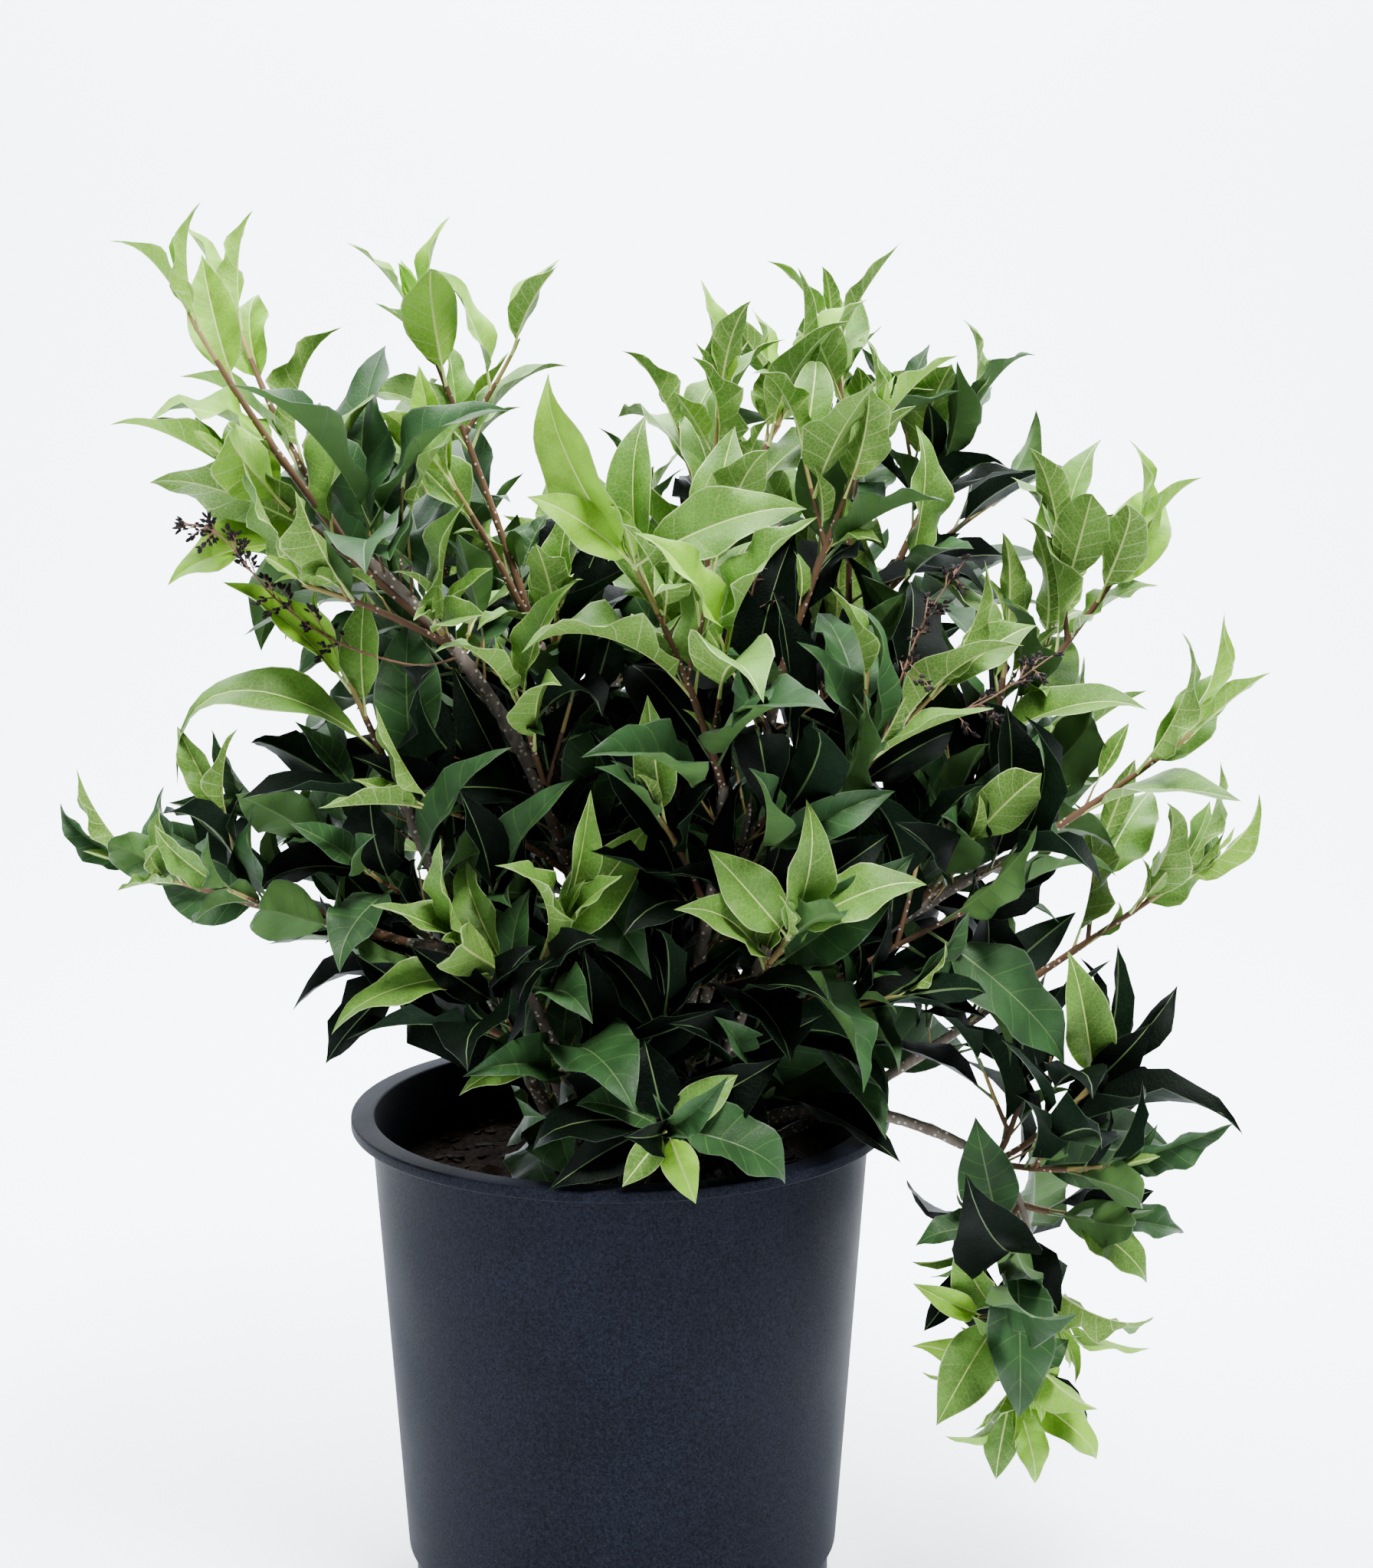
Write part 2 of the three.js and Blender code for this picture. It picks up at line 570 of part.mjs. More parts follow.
// A mass: its shoots, their side twigs and their leaves, fused, and cut clear of its stem
function growMass(mass, shoots, next) {
  const pieces = shoots.map(({ twig }) => twig.solid);
  shoots.forEach((shoot, count) => {
    const family = [mass.name, count].join();
    const sides = [];
    shoot.nodes.slice(2, 2 + mass.sides).forEach((node, place) => {
      const side = makeSideTwig(shoot, node, mass, 180 * (place % 2), next);
      if (side.twig.forms.every((form) => hasRoom(form, [family]))) {
        const sideFamily = [family, "side", place].join();
        stand(sideFamily, side.twig.forms);
        pieces.push(side.twig.solid);
        sides.push({ ...side, sideFamily });
      }
    });
    shoot.nodes.forEach((node, place) => {
      const leaves = leafPair(shoot.twig.at(node.ring, node.share), node.turn, node, mass, next);
      addLeaves(pieces, leaves, family, [family, "pair", place].join());
    });
    sides.forEach(({ leaves, sideFamily }) => {
      addLeaves(pieces, leaves.slice(0, 2), sideFamily, [sideFamily, "end"].join());
      addLeaves(pieces, leaves.slice(2), sideFamily, [sideFamily, "middle"].join());
    });
  });
  const fused = pieces.reduce((whole, piece) => whole.add(piece));
  const carrier = STEMS.find(({ name }) => name === mass.on);
  const bodies = fused.subtract(stemSolid(carrier, CLEAR)).decompose();
  return bodies.sort((one, other) => other.volume() - one.volume())[0];
}

const shrub = new THREE.Group();

function place(name, geometry, material) {
  const mesh = new THREE.Mesh(geometry, material);
  mesh.name = name;
  shrub.add(mesh);
}

place("pot", makePot(), potFinish());
place("soil", makeSoil(), soilFinish());

for (const stem of STEMS) {
  const { points, rings } = stemRings(stem, 0);
  stand(stem.name, tubeForms(points, rings, STEM.sides));
  place(stem.name, geometryFrom(stemSolid(stem)), barkFinish());
}

const grown = MASSES.map((mass) => {
  const shoots = mass.tips.map((tip, count) => makeShoot(mass, tip, count));
  shoots.forEach(({ twig }, count) => stand([mass.name, count].join(), twig.forms));
  return { mass, shoots };
});

grown.forEach(({ mass, shoots }, count) => {
  const solid = growMass(mass, shoots, numbersFrom(101 + count));
  place("leaves_" + mass.name, geometryFrom(solid), leafFinish());
});

export default shrub;
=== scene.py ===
"""A potted small-leaved lilac: bark, twigs, leaves, seed heads, pot and soil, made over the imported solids.

Metres, +Z up. The origin is the middle of the pot's underside, and the side that the shrub shows
best faces -Y. Growth is worked out in millimetres by the same rule as the solids, and carried on
to finer twigs.
"""

import math
from functools import lru_cache

import bpy
from bpy.props import FloatProperty, FloatVectorProperty, PointerProperty
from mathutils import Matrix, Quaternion, Vector, noise
from mathutils.bvhtree import BVHTree


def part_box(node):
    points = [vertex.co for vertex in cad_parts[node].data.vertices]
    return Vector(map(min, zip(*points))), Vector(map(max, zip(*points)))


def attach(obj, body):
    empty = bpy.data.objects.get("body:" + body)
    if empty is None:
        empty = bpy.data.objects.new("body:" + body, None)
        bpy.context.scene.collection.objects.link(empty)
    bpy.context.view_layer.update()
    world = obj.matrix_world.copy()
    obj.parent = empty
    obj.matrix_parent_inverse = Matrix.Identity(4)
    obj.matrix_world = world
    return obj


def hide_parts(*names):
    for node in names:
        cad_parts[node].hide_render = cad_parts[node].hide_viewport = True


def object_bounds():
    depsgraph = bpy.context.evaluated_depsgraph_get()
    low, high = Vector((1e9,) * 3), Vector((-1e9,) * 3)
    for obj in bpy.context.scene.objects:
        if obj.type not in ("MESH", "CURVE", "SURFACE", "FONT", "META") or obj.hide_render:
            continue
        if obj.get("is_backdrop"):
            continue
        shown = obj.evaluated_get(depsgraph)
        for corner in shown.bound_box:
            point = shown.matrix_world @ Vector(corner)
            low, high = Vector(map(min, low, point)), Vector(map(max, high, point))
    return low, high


bl_info = {
    "name": "Potted lilac",
    "version": (1, 0, 0),
    "blender": (4, 5, 0),
    "location": "3D View > Sidebar > Lilac",
    "description": "Makes a potted small-leaved lilac over its packed solids",
    "category": "Add Mesh",
}

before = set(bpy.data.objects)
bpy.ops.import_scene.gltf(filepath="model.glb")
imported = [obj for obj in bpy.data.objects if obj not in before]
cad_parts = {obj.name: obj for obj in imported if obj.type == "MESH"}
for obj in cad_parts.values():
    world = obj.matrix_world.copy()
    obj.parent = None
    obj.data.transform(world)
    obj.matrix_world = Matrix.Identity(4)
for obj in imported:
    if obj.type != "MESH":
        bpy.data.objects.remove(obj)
CAD_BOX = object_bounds()
POT_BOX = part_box("pot")
MM = 0.001

# The pot and its filling, in millimetres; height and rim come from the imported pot
POT = dict(
    height=POT_BOX[1].z / MM, rim=POT_BOX[1].x / MM, lip_width=10, lip_height=6,
    heel=113, heel_height=27, foot=109, wall=2, floor=3, sides=120,
)
SOIL = dict(top=227, fall=4, sink=1.5, rings=34, sides=110, low=0.75, chips=420)
# Room between the solids' limbs, soil and wall, between leaves, and between leaves and the pot
CLEAR = 0.33
LEAF_CLEAR = 0.4
POT_CLEAR = 1.5

# The rule of growth, with the solids' own numbers. Twigs: the radii, and how deep one sinks in its stem
TWIG = dict(heel=1.9, tip=1.1, sink=1.5)
# Leaf pairs from a shoot's tip down: how far below the last in gaps, how far they open in degrees
# and rise, and their leaves' size and width as factors
PAIRS = [
    dict(down=0.2, spread=26, rise=0.3, size=0.85, width=0.8),
    dict(down=0.75, spread=40, rise=0.3, size=1, width=0.9),
    dict(down=0.9, spread=50, rise=0.25, size=1, width=1),
    dict(down=0.95, spread=56, rise=0.15, size=1, width=1),
    dict(down=0.95, spread=60, rise=0.05, size=1, width=1),
    dict(down=0.95, spread=62, rise=-0.1, size=0.95, width=1),
]
SIDE_END = dict(spread=32, rise=0.2, size=0.8, width=0.85)
SIDE_MIDDLE = dict(spread=54, rise=0.05, size=0.95, width=1)
TIP_PAIR = dict(spread=12, rise=0.15, size=0.46, width=0.7)
SIDE = dict(spread=46, rise=0.25, size=1, width=1)
# Shoots: the bare heel, the turn from one to the next, the bend, the length of a step, the heel's
# radius as a share of its stem's and at most, and the end's radius
SHOOT = dict(bare_heel=9, turn=35, bend_at=0.42, bow=0.12, step=5, heel=0.62, most=2.2, end=0.7)
# The swelling at a leaf pair: how far above the pair it is, how far it reaches and how high it is
NODE = dict(above=1.5, reach=2.6, height=0.16)
# Side twigs: the radii, the length and where on them their leaf pairs are
SIDE_TWIG = dict(radius=1.1, stout=1.25, taper=0.62, end=0.5, above=0.2, shortest=36, longest=76, share=0.6,
                 leaf_share=0.3, straight=0.6, rise=0.25, step=6, ends=0.18, middles=0.58)
# The radius of a stem's tip as a share of its foot's
STEM_TIP = 0.66
# The least opening of a leaf, and how much larger than the rule's the leaves are
NARROWEST = 24
ENLARGE = 1.14
# A leaf's upper face turns between its shoot's tip, the sky and the outside of the crown.
CROWN = Vector((25, 0, 400))
FACING = dict(tip=0.75, sky=0.35, outside=0.4)
# How a leaf without room turns round its twig and opens, in degrees, in the order in which they are tried
TURNS = [(0, 0), (9, 0), (-9, 0), (0, 12), (0, -10), (12, 14), (-12, 14), (22, 0), (-22, 0), (0, 24)]

# Stems and boughs: the foot on the soil or the start on another limb, the bend, the tip, the radius
STEM_TABLE = {
    "stem_left": ((-10, 1), (2, -34, 450), (-130, -60, 557), 4.4),
    "stem_left_low": ((-22, -7), (-68, -50, 338), (-110, -68, 450), 4),
    "stem_low_left": ((-15, -20), (-46, -46, 356), (-102, -66, 362), 3.9),
    "stem_front_left": ((-5, -31), (-22, -62, 286), (-42, -84, 343), 3.9),
    "stem_front_low": ((8, -42), (12, -60, 276), (18, -88, 276), 3.6),
    "bough_over_rim": ((26, -25), (88, -30, 294), (172, -50, 255), 4.1),
    "bough_hanging": ((173, -50.2, 254.4), (200, -55, 246), (206, -57, 206), 2.7),
    "stem_right_low": ((33, -8), (92, -4, 240), (199, -6, 321), 3.6),
    "stem_right_mid": ((26, 3), (84, -8, 336), (195, -27, 396), 4),
    "stem_right_high": ((19, 14), (104, 20, 330), (190, 15, 447), 4.2),
    "stem_centre_right": ((13, -9), (62, -24, 370), (79, -30, 486), 4.2),
    "stem_centre": ((5, 7), (24, 2, 420), (42, -8, 528), 4.6),
    "stem_centre_front": ((4, -16), (44, -62, 330), (52, -74, 440), 4),
    "stem_centre_left": ((-7, 16), (-22, 4, 400), (-39, -16, 502), 4.4),
    "stem_front_right": ((17, -33), (62, -78, 318), (87, -72, 406), 4),
    "stem_back_left": ((-19, 27), (-70, 62, 380), (-96, 84, 508), 4.2),
    "stem_back": ((0, 27), (-8, 88, 380), (-6, 108, 480), 4.2),
    "stem_back_right": ((14, 28), (84, 66, 380), (138, 68, 520), 4.4),
}
STEMS = {
    name: dict(line=tuple(map(Vector, ((*foot, SOIL["top"] + CLEAR)[:3], bend, tip))),
               rooted=len(foot) == 2, radius=radius)
    for name, (foot, bend, tip, radius) in STEM_TABLE.items()
}


def mass(name, on, *tips, at=1, leaf=64, gap=38, sides=2, turn=60, rise=0, open=0):
    """A foliage mass: its stem, the tips of its shoots, where on the stem they start, how long its leaves
    are, the gap between its leaf pairs, its side twigs, and how its leaves turn, rise and open."""
    return dict(name=name, on=on, tips=tips, at=at, leaf=leaf, gap=gap, sides=sides, turn=turn, rise=rise,
                open=open)


MASSES = [
    mass("left_top", "stem_left", (-196, -84, 664), (-185, -24, 664), gap=46, sides=0, turn=70, rise=0.2),
    mass("left_inner", "stem_left", (-174, -78, 590), (-144, -100, 540), (-84, -88, 520),
         at=0.78, leaf=66, gap=30, turn=80, open=8),
    mass("left_mid", "stem_left_low", (-126, -80, 492), leaf=90, gap=26, turn=75, rise=0.35, open=22),
    mass("left_spur", "stem_left_low", (-165, -66, 422), at=0.62, leaf=58, gap=32, turn=80, rise=-0.1),
    mass("low_left", "stem_low_left", (-232, -84, 404), (-190, -46, 394), leaf=56, rise=0.35),
    mass("low_left_back", "stem_low_left", (-142, -6, 384), at=0.8, turn=30),
    mass("upper_left", "stem_centre_left", (-95, -30, 662), (-80, -58, 588), turn=80, open=8),
    mass("centre_left", "stem_centre_left", (-28, -56, 524), at=0.82, gap=30, turn=70),
    mass("centre_left_low", "stem_left", (-46, -84, 486), (-92, -96, 436), at=0.4, sides=1),
    mass("front_centre", "stem_centre_front", (10, -98, 548), leaf=80, turn=85),
    mass("centre_low", "stem_centre_front", (20, -100, 432), at=0.7, turn=70),
    mass("front_left", "stem_front_left", (-68, -104, 368), (-22, -106, 382), leaf=68, gap=28, sides=0),
    mass("front_left_low", "stem_front_left", (-84, -84, 332), (6, -80, 318),
         at=0.6, leaf=70, gap=26, turn=15, rise=0.1),
    mass("front_low", "stem_front_low", (25, -131, 287), (24, -94, 338),
         leaf=60, gap=20, sides=0, turn=20, rise=-0.1),
    mass("front_right_low", "stem_front_right", (82, -108, 374), at=0.6, leaf=76, gap=34, turn=85),
    mass("front_right", "stem_front_right", (125, -80, 460), (158, -50, 486), leaf=72, turn=80),
    mass("front_right_side", "stem_front_right", (138, -84, 340), (192, -66, 388), at=0.42, turn=40),
    mass("top_centre", "stem_centre", (50, -16, 622), (90, 14, 630), turn=75, rise=0.2),
    mass("right_top", "stem_centre_right", (124, -36, 608), turn=85),
    mass("top_back", "stem_back_right", (110, 62, 655), at=0.82, leaf=66, turn=80, open=18),
    mass("right_back_top", "stem_back_right", (183, 66, 616), (204, 104, 568), leaf=56),
    mass("right_high", "stem_right_high", (262, 12, 549), (200, 42, 502), turn=75, rise=0.3),
    mass("right_mid", "stem_right_mid", (284, -38, 462), turn=70, rise=0.35),
    mass("right_mid_inner", "stem_right_mid", (222, 14, 436), (170, -58, 410), at=0.76, leaf=74, rise=0.1),
    mass("right_low", "stem_right_low", (288, -10, 384), rise=0.5),
    mass("hanging_tip", "bough_hanging", (220, -58, 164), (196, -78, 138),
         leaf=56, gap=26, turn=80, rise=0.15),
    mass("hanging_low", "bough_hanging", (176, -64, 204), (240, -54, 220),
         at=0.72, leaf=60, gap=26, turn=80, rise=0.1, open=8),
    mass("hanging_top", "bough_hanging", (206, -44, 306), (244, -48, 296), (242, -88, 256),
         at=0.3, leaf=64, gap=26, turn=70, rise=0.25, open=8),
    mass("inner_left", "stem_centre_left", (-70, 2, 430), at=0.5, leaf=72, turn=40),
    mass("inner_right", "stem_centre_right", (112, 4, 446), at=0.66, leaf=72, turn=50),
    mass("inner_low", "stem_centre_right", (22, -26, 388), (86, -52, 344), at=0.36, leaf=72, gap=30),
    mass("back_left_high", "stem_back_left", (-84, 78, 596), (-132, 112, 560)),
    mass("back_left_mid", "stem_back_left", (-112, 128, 470), at=0.72, leaf=68, turn=40),
    mass("back_left_low", "stem_back_left", (-112, 108, 380), at=0.42, leaf=68, turn=30),
    mass("back_top", "stem_back", (6, 116, 552), (-36, 168, 530)),
    mass("back_mid", "stem_back", (30, 188, 480), at=0.75, leaf=68, turn=30),
    mass("back_low", "stem_back", (-24, 172, 372), at=0.45, leaf=70, turn=40),
    mass("back_right_high", "stem_back_right", (112, 158, 548), at=0.68, turn=50),
    mass("back_right_mid", "stem_back_right", (150, 146, 438), at=0.5, leaf=68, turn=30),
    mass("back_right_low", "stem_right_high", (116, 112, 352), at=0.34, turn=40),
]

# Seed heads: the way of each main stalk, in millimetres, and how many side stalks it has
SEED_HEADS = [
    ([(-76, -47, 500), (-96, -72, 499), (-130, -88, 512), (-158, -92, 533), (-182, -94, 562),
      (-198, -94, 568)], 14),
    ([(128, -72, 462), (136, -68, 490), (148, -64, 520), (166, -62, 547)], 9),
    ([(79, -30, 488), (66, -34, 520), (70, -38, 544), (80, -40, 566)], 6),
    ([(141, -68, 472), (174, -70, 480), (208, -70, 503)], 6),
]

# Large leaves that catch the eye: the root, which the nearest twig takes up, and the tip in millimetres,
# the way that the upper side looks, half the width, bend, curl and tone, whose darker ones are painted shade
BIG_LEAVES = [
    ((-112, -82, 452), (-226, -96, 492), (0, -0.5, 0.9), 0.12, 1.1, 5, "mid"),
    ((-136, -82, 556), (-217, -90, 592), (0.2, 0.9, 0.5), 0.25, 0.5, 1, "mid"),
    ((-118, -88, 517), (-166, -96, 558), (0.5, 0.8, 0.6), 0.29, 0.5, 1, "old"),
    ((8, -100, 556), (-34, -108, 638), (-0.7, -0.9, -0.2), 0.2, 0.5, 1, "young"),
    ((8, -102, 550), (-40, -116, 584), (0.1, -0.9, 0.6), 0.2, 0.7, 1, "young"),
    ((12, -102, 550), (92, -114, 582), (-0.2, -0.9, 0.5), 0.2, 0.8, 1, "mid"),
    ((-50, -98, 340), (-143, -106, 331), (0, -0.5, 0.9), 0.15, 0.9, 1, "mid"),
    ((82, -108, 374), (151, -114, 403), (-0.1, -0.6, 0.8), 0.22, 0.9, 1, "mid"),
    ((82, -108, 374), (42, -114, 419), (-0.3, -0.7, 0.6), 0.25, 0.7, 1, "mid"),
    ((190, 15, 447), (266, -30, 474), (0, -0.6, 0.8), 0.18, 0.9, 1, "mid"),
    ((161, -62, 350), (225, -74, 297), (0.3, -0.8, 0.5), 0.2, 0.8, 1, "old"),
    ((232, -60, 296), (219, -68, 358), (0.2, -1, 0.1), 0.2, 0.5, 1, "mid"),
    # The spray over the front of the rim
    ((24, -128, 286), (-22, -124, 300), (0.1, -0.6, 0.8), 0.27, 0.9, 1, "old"),
    ((22, -126, 283), (-48, -126, 275), (-0.1, -0.5, 0.9), 0.24, 1.3, 1, "deep"),
    ((24, -128, 286), (60, -122, 312), (0.2, -0.8, 0.6), 0.24, 0.6, 1, "mid"),
    ((26, -128, 283), (88, -126, 256), (0.2, -0.6, 0.8), 0.27, 1.2, 1, "old"),
    ((24, -131, 285), (40, -148, 256), (0, -1, 0.2), 0.24, 0.8, 0.5, "young"),
    ((22, -131, 285), (2, -146, 264), (0, -1, 0.3), 0.22, 0.8, 1, "mid"),
    ((22, -124, 292), (15, -116, 328), (0, -1, 0.2), 0.28, 0.5, 0.6, "deep"),
    ((-28, -100, 293), (-78, -106, 299), (0, -0.6, 0.8), 0.19, 0.8, 1, "mid"),
    ((-30, -98, 300), (-64, -108, 312), (0, -0.8, 0.6), 0.26, 0.6, 1, "old"),
    # The bunch that hangs beside the pot
    ((193, -60, 208), (177, -68, 275), (-0.2, -1, 0.2), 0.26, 0.5, 1, "old"),
    ((193, -60, 210), (145, -70, 211), (0, -0.5, 0.9), 0.26, 0.7, 1, "old"),
    ((195, -60, 206), (221, -74, 172), (0.2, -1, 0.3), 0.28, 0.7, 1, "deep"),
    ((214, -58, 254), (282, -66, 258), (0.1, -0.5, 0.9), 0.2, 0.9, 1, "old"),
    ((221, -60, 293), (262, -64, 322), (0.3, -0.8, 0.5), 0.22, 0.6, 1, "deep"),
    ((222, -60, 214), (268, -68, 189), (0.3, -0.8, 0.6), 0.25, 0.8, 1, "mid"),
    ((226, -56, 222), (268, -62, 236), (0.2, -0.9, 0.4), 0.24, 0.6, 1, "deep"),
    ((190, -72, 128), (145, -76, 163), (0.5, -0.6, 0.7), 0.17, 0.6, 1, "young"),
    ((190, -72, 130), (171, -84, 174), (0.6, -0.8, 0.2), 0.19, 0.4, 1, "young"),
    ((192, -66, 140), (226, -74, 163), (0, -0.9, 0.5), 0.28, 0.8, 1, "old"),
    ((198, -70, 142), (238, -76, 116), (0.3, -0.9, 0.4), 0.26, 0.8, 1, "deep"),
    ((192, -76, 130), (242, -86, 100), (0, -0.7, 0.8), 0.2, 1, 1, "young"),
    ((192, -78, 128), (187, -84, 90), (-0.3, -1, 0.1), 0.2, 0.5, 1, "mid"),
    ((194, -78, 128), (209, -84, 87), (0.3, -1, 0.2), 0.19, 0.6, 1, "young"),
]
# Stems that no leaf hides from the front, and from where to where, as shares of their length
OPEN_STEMS = dict(stem_left=(0.4, 0.97), stem_left_low=(0.55, 0.9))
# The same for the shoots of some foliage masses
OPEN_SHOOTS = dict(
    left_top=(0.05, 0.8), upper_left=(0.25, 0.8), front_centre=(0.15, 0.85), top_centre=(0.3, 0.85),
    right_top=(0.35, 0.85), right_high=(0.3, 0.8), right_mid=(0.3, 0.75), right_low=(0.3, 0.75),
)

# Sheets of air in front of these and of the seed heads: how far above and below, and how deep
FREE = {"seed head": dict(rises=(-16, 0, 14), deep=70), "stem": dict(rises=(-3, 3), deep=46),
        "shoot": dict(rises=(-1, 1), deep=40)}

# Air between two corners, which no leaf may enter: over the left of the pot's rim, where the soil
# shows, and between the pot and the bunch that hangs beside it
AIR = [((-170, -170, 226), (-56, 170, 296)), ((112, -170, 90), (141, 40, 238))]

# The crown's middle and reach, by which its inner leaves take painted shade and its upper ones painted light
CROWN_MIDDLE = Vector((20, 20, 430))
CROWN_REACH = (280, 200, 260)
HIGH_IS_LIGHT = 0.35
# How far out a leaf must be for each tone
LEAST = dict(young=1.03, mid=0.63, old=0.44)
# Sprays that stand in shade or in light
SHADES = dict(
    left_top=-0.1, left_mid=0.2, left_spur=-0.2, low_left=-0.27, low_left_back=-0.45, upper_left=-0.1,
    front_left=0.1, front_left_low=-0.45, front_low=-0.5, front_centre=0.1, front_right_side=-0.3,
    right_back_top=-0.45, top_back=-0.3, back_top=-0.15,
    hanging_top=-0.65, hanging_low=-0.6, hanging_tip=-0.2,
)
# How much older leaves are darker, and how far a whole spray and a single leaf differ by chance
AGE_IS_DARK = 0.12
SPRAY_CHANCE = 0.12
LEAF_CHANCE = 0.16

# Short leafy twigs in the corners of the leaf pairs: how often, the sizes of their leaves, the lean,
# the roll and the length
CORNER_TWIG = dict(bare=0.15, back=0.45, usual=0.6, size=(0.34, 0.62), lean=(20, 36), roll=(-14, 14),
                   length=(4, 18), radius=0.8, above=1.5)
# Twigs along the stems inside the crown: where they start, how far apart they are, and from which
# height on their leaves are lighter, as painted light, while the lower ones take painted shade
INNER_TWIG = dict(lean=(45, 70), roll=(-20, 20), length=(12, 52), size=(0.85, 1.25), every=(9, 17),
                  light_from=480, hanging_every=2.2, back_every=1.35, over_rim=40, start=20,
                  hanging_start=6, off_rim=30, middle=55)

# Where each run of random numbers starts
SEEDS = {"chips": 77, "leaves": 101, "knots": 300, "large leaves": 700, "seed heads": 800, "looks": 5001,
         "shoots": 9001, "stems": 12001}

# Parts of the crown: each is one piece of foliage
REGIONS = ["left", "centre", "right", "back", "hanging"]


def region_of(name):
    """The part of the crown that a mass or a stem belongs to."""
    words = name.split("_")
    for region in ("hanging", "back", "left", "right"):
        if region in words and not (region in ("left", "right") and words[0] in ("front", "inner", "centre")):
            return region
    return "centre"


# ---- Numbers and paths ----

def numbers_from(seed):
    """A run of numbers from 0 to 1 that is the same for the same seed."""
    state = seed

    def draw():
        nonlocal state
        state = (state * 1664525 + 1013904223) & 0xFFFFFFFF
        return state / 4294967296
    return draw


def seeded(what, count=0):
    """The run of numbers for one of several things of a kind."""
    return numbers_from(SEEDS[what] + count)


def mix(one, other, share):
    return one + (other - one) * share


def between(span, draw):
    return mix(*span, draw())


def on_bend(line, share):
    start, bend, end = line
    return start * (1 - share) ** 2 + bend * (2 * share * (1 - share)) + end * share ** 2


def way_of(line, share):
    start, bend, end = line
    return ((bend - start) * (1 - share) + (end - bend) * share).normalized()


def carried(path, first, level_foot=False):
    """A point and three directions at each place of a path, carried along it without twist."""
    across = first
    frames = []
    for place, centre in enumerate(path):
        before, after = path[max(place - 1, 0)], path[min(place + 1, len(path) - 1)]
        along = Vector((0, 0, 1)) if level_foot and place == 0 else (after - before).normalized()
        across = (across - along * across.dot(along)).normalized()
        frames.append((centre, along, across, along.cross(across)))
    return frames


def first_across(way):
    level = way.cross(Vector((0, 0, 1)))
    return level.normalized() if level.length > 1e-3 else Vector((1, 0, 0))


def points_on(line, steps, start=0, end=1):
    return [on_bend(line, mix(start, end, step / steps)) for step in range(steps + 1)]


def stem_radii(stem, steps):
    return [stem["radius"] * mix(1, STEM_TIP, step / steps) for step in range(steps + 1)]


def wood(path, radii, reach, **more):
    """A twig or a stem as its path, the frames along it, its radii and its length."""
    frames = carried(path, first_across(path[1] - path[0]))
    return dict(path=path, frames=frames, radii=radii, reach=reach, **more)


# ---- Gathering points and faces ----

class Piece:
    """Points, faces and finishes of one piece, gathered before its mesh is made."""

    def __init__(self):
        self.points, self.faces, self.finishes = [], [], []

    def add(self, points, faces, shown):
        """`shown` is the place of the faces' material, or a list with one place for each face."""
        start = len(self.points)
        self.points.extend(points)
        self.faces += [tuple(start + corner for corner in face) for face in faces]
        self.finishes += shown if isinstance(shown, list) else [shown] * len(faces)

    def make(self, name, materials, stands_for, sharp=40):
        mesh = bpy.data.meshes.new(name)
        mesh.from_pydata([tuple(point * MM) for point in self.points], [], self.faces)
        for material in materials:
            mesh.materials.append(material)
        mesh.polygons.foreach_set("material_index", self.finishes)
        mesh.polygons.foreach_set("use_smooth", [True] * len(self.faces))
        mesh.set_sharp_from_angle(angle=math.radians(sharp))
        if mesh.validate():
            raise RuntimeError(f"the mesh of {name} has faults")
        mesh.update()
        piece = bpy.data.objects.new(name, mesh)
        bpy.context.scene.collection.objects.link(piece)
        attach(piece, "root")
        if stands_for:
            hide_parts(*stands_for)
        return piece


def tube(frames, radii, sides, dent=None):
    """Points and faces of a closed tube. `dent` gives a share of the radius at a point."""
    points, faces = [], []
    for (centre, _, across, third), radius in zip(frames, radii):
        for side in range(sides):
            angle = 2 * math.pi * side / sides
            out = across * math.cos(angle) + third * math.sin(angle)
            reach = radius * (dent(centre + out * radius) if dent else 1)
            points.append(centre + out * reach)
    rings = len(frames)
    for ring in range(rings - 1):
        for side in range(sides):
            here, beside = ring * sides + side, ring * sides + (side + 1) % sides
            faces.append((here, beside, beside + sides, here + sides))
    faces.append(tuple(range(sides - 1, -1, -1)))
    faces.append(tuple((rings - 1) * sides + side for side in range(sides)))
    return points, faces


# ---- What touches what ----

class Standing:
    """Everything that stands so far, as rough shells with the family that each may touch."""

    def __init__(self):
        self.shells = []

    @staticmethod
    def shell(points, faces):
        centre = sum(points, Vector()) / len(points)
        reach = max((point - centre).length for point in points)
        return centre, reach, BVHTree.FromPolygons(points, faces, epsilon=LEAF_CLEAR), points

    def add(self, family, shell):
        self.shells.append((family, shell))

    def has_room(self, shell, families):
        centre, reach, tree, points = shell
        if not clear_of_pot(points) or any(inside(point, *box) for box in AIR for point in points):
            return False
        for family, (middle, far, other, _) in self.shells:
            if family in families or (middle - centre).length > reach + far + LEAF_CLEAR:
                continue
            if tree.overlap(other):
                return False
        return True


def inside(point, low, high):
    return all(least < value < most for least, value, most in zip(low, point, high))


def outer_radius(z):
    if z < POT["heel_height"]:
        return POT["foot"]
    share = (z - POT["heel_height"]) / (POT["height"] - POT["heel_height"])
    return mix(POT["heel"], POT["rim"] - POT["lip_width"], share)


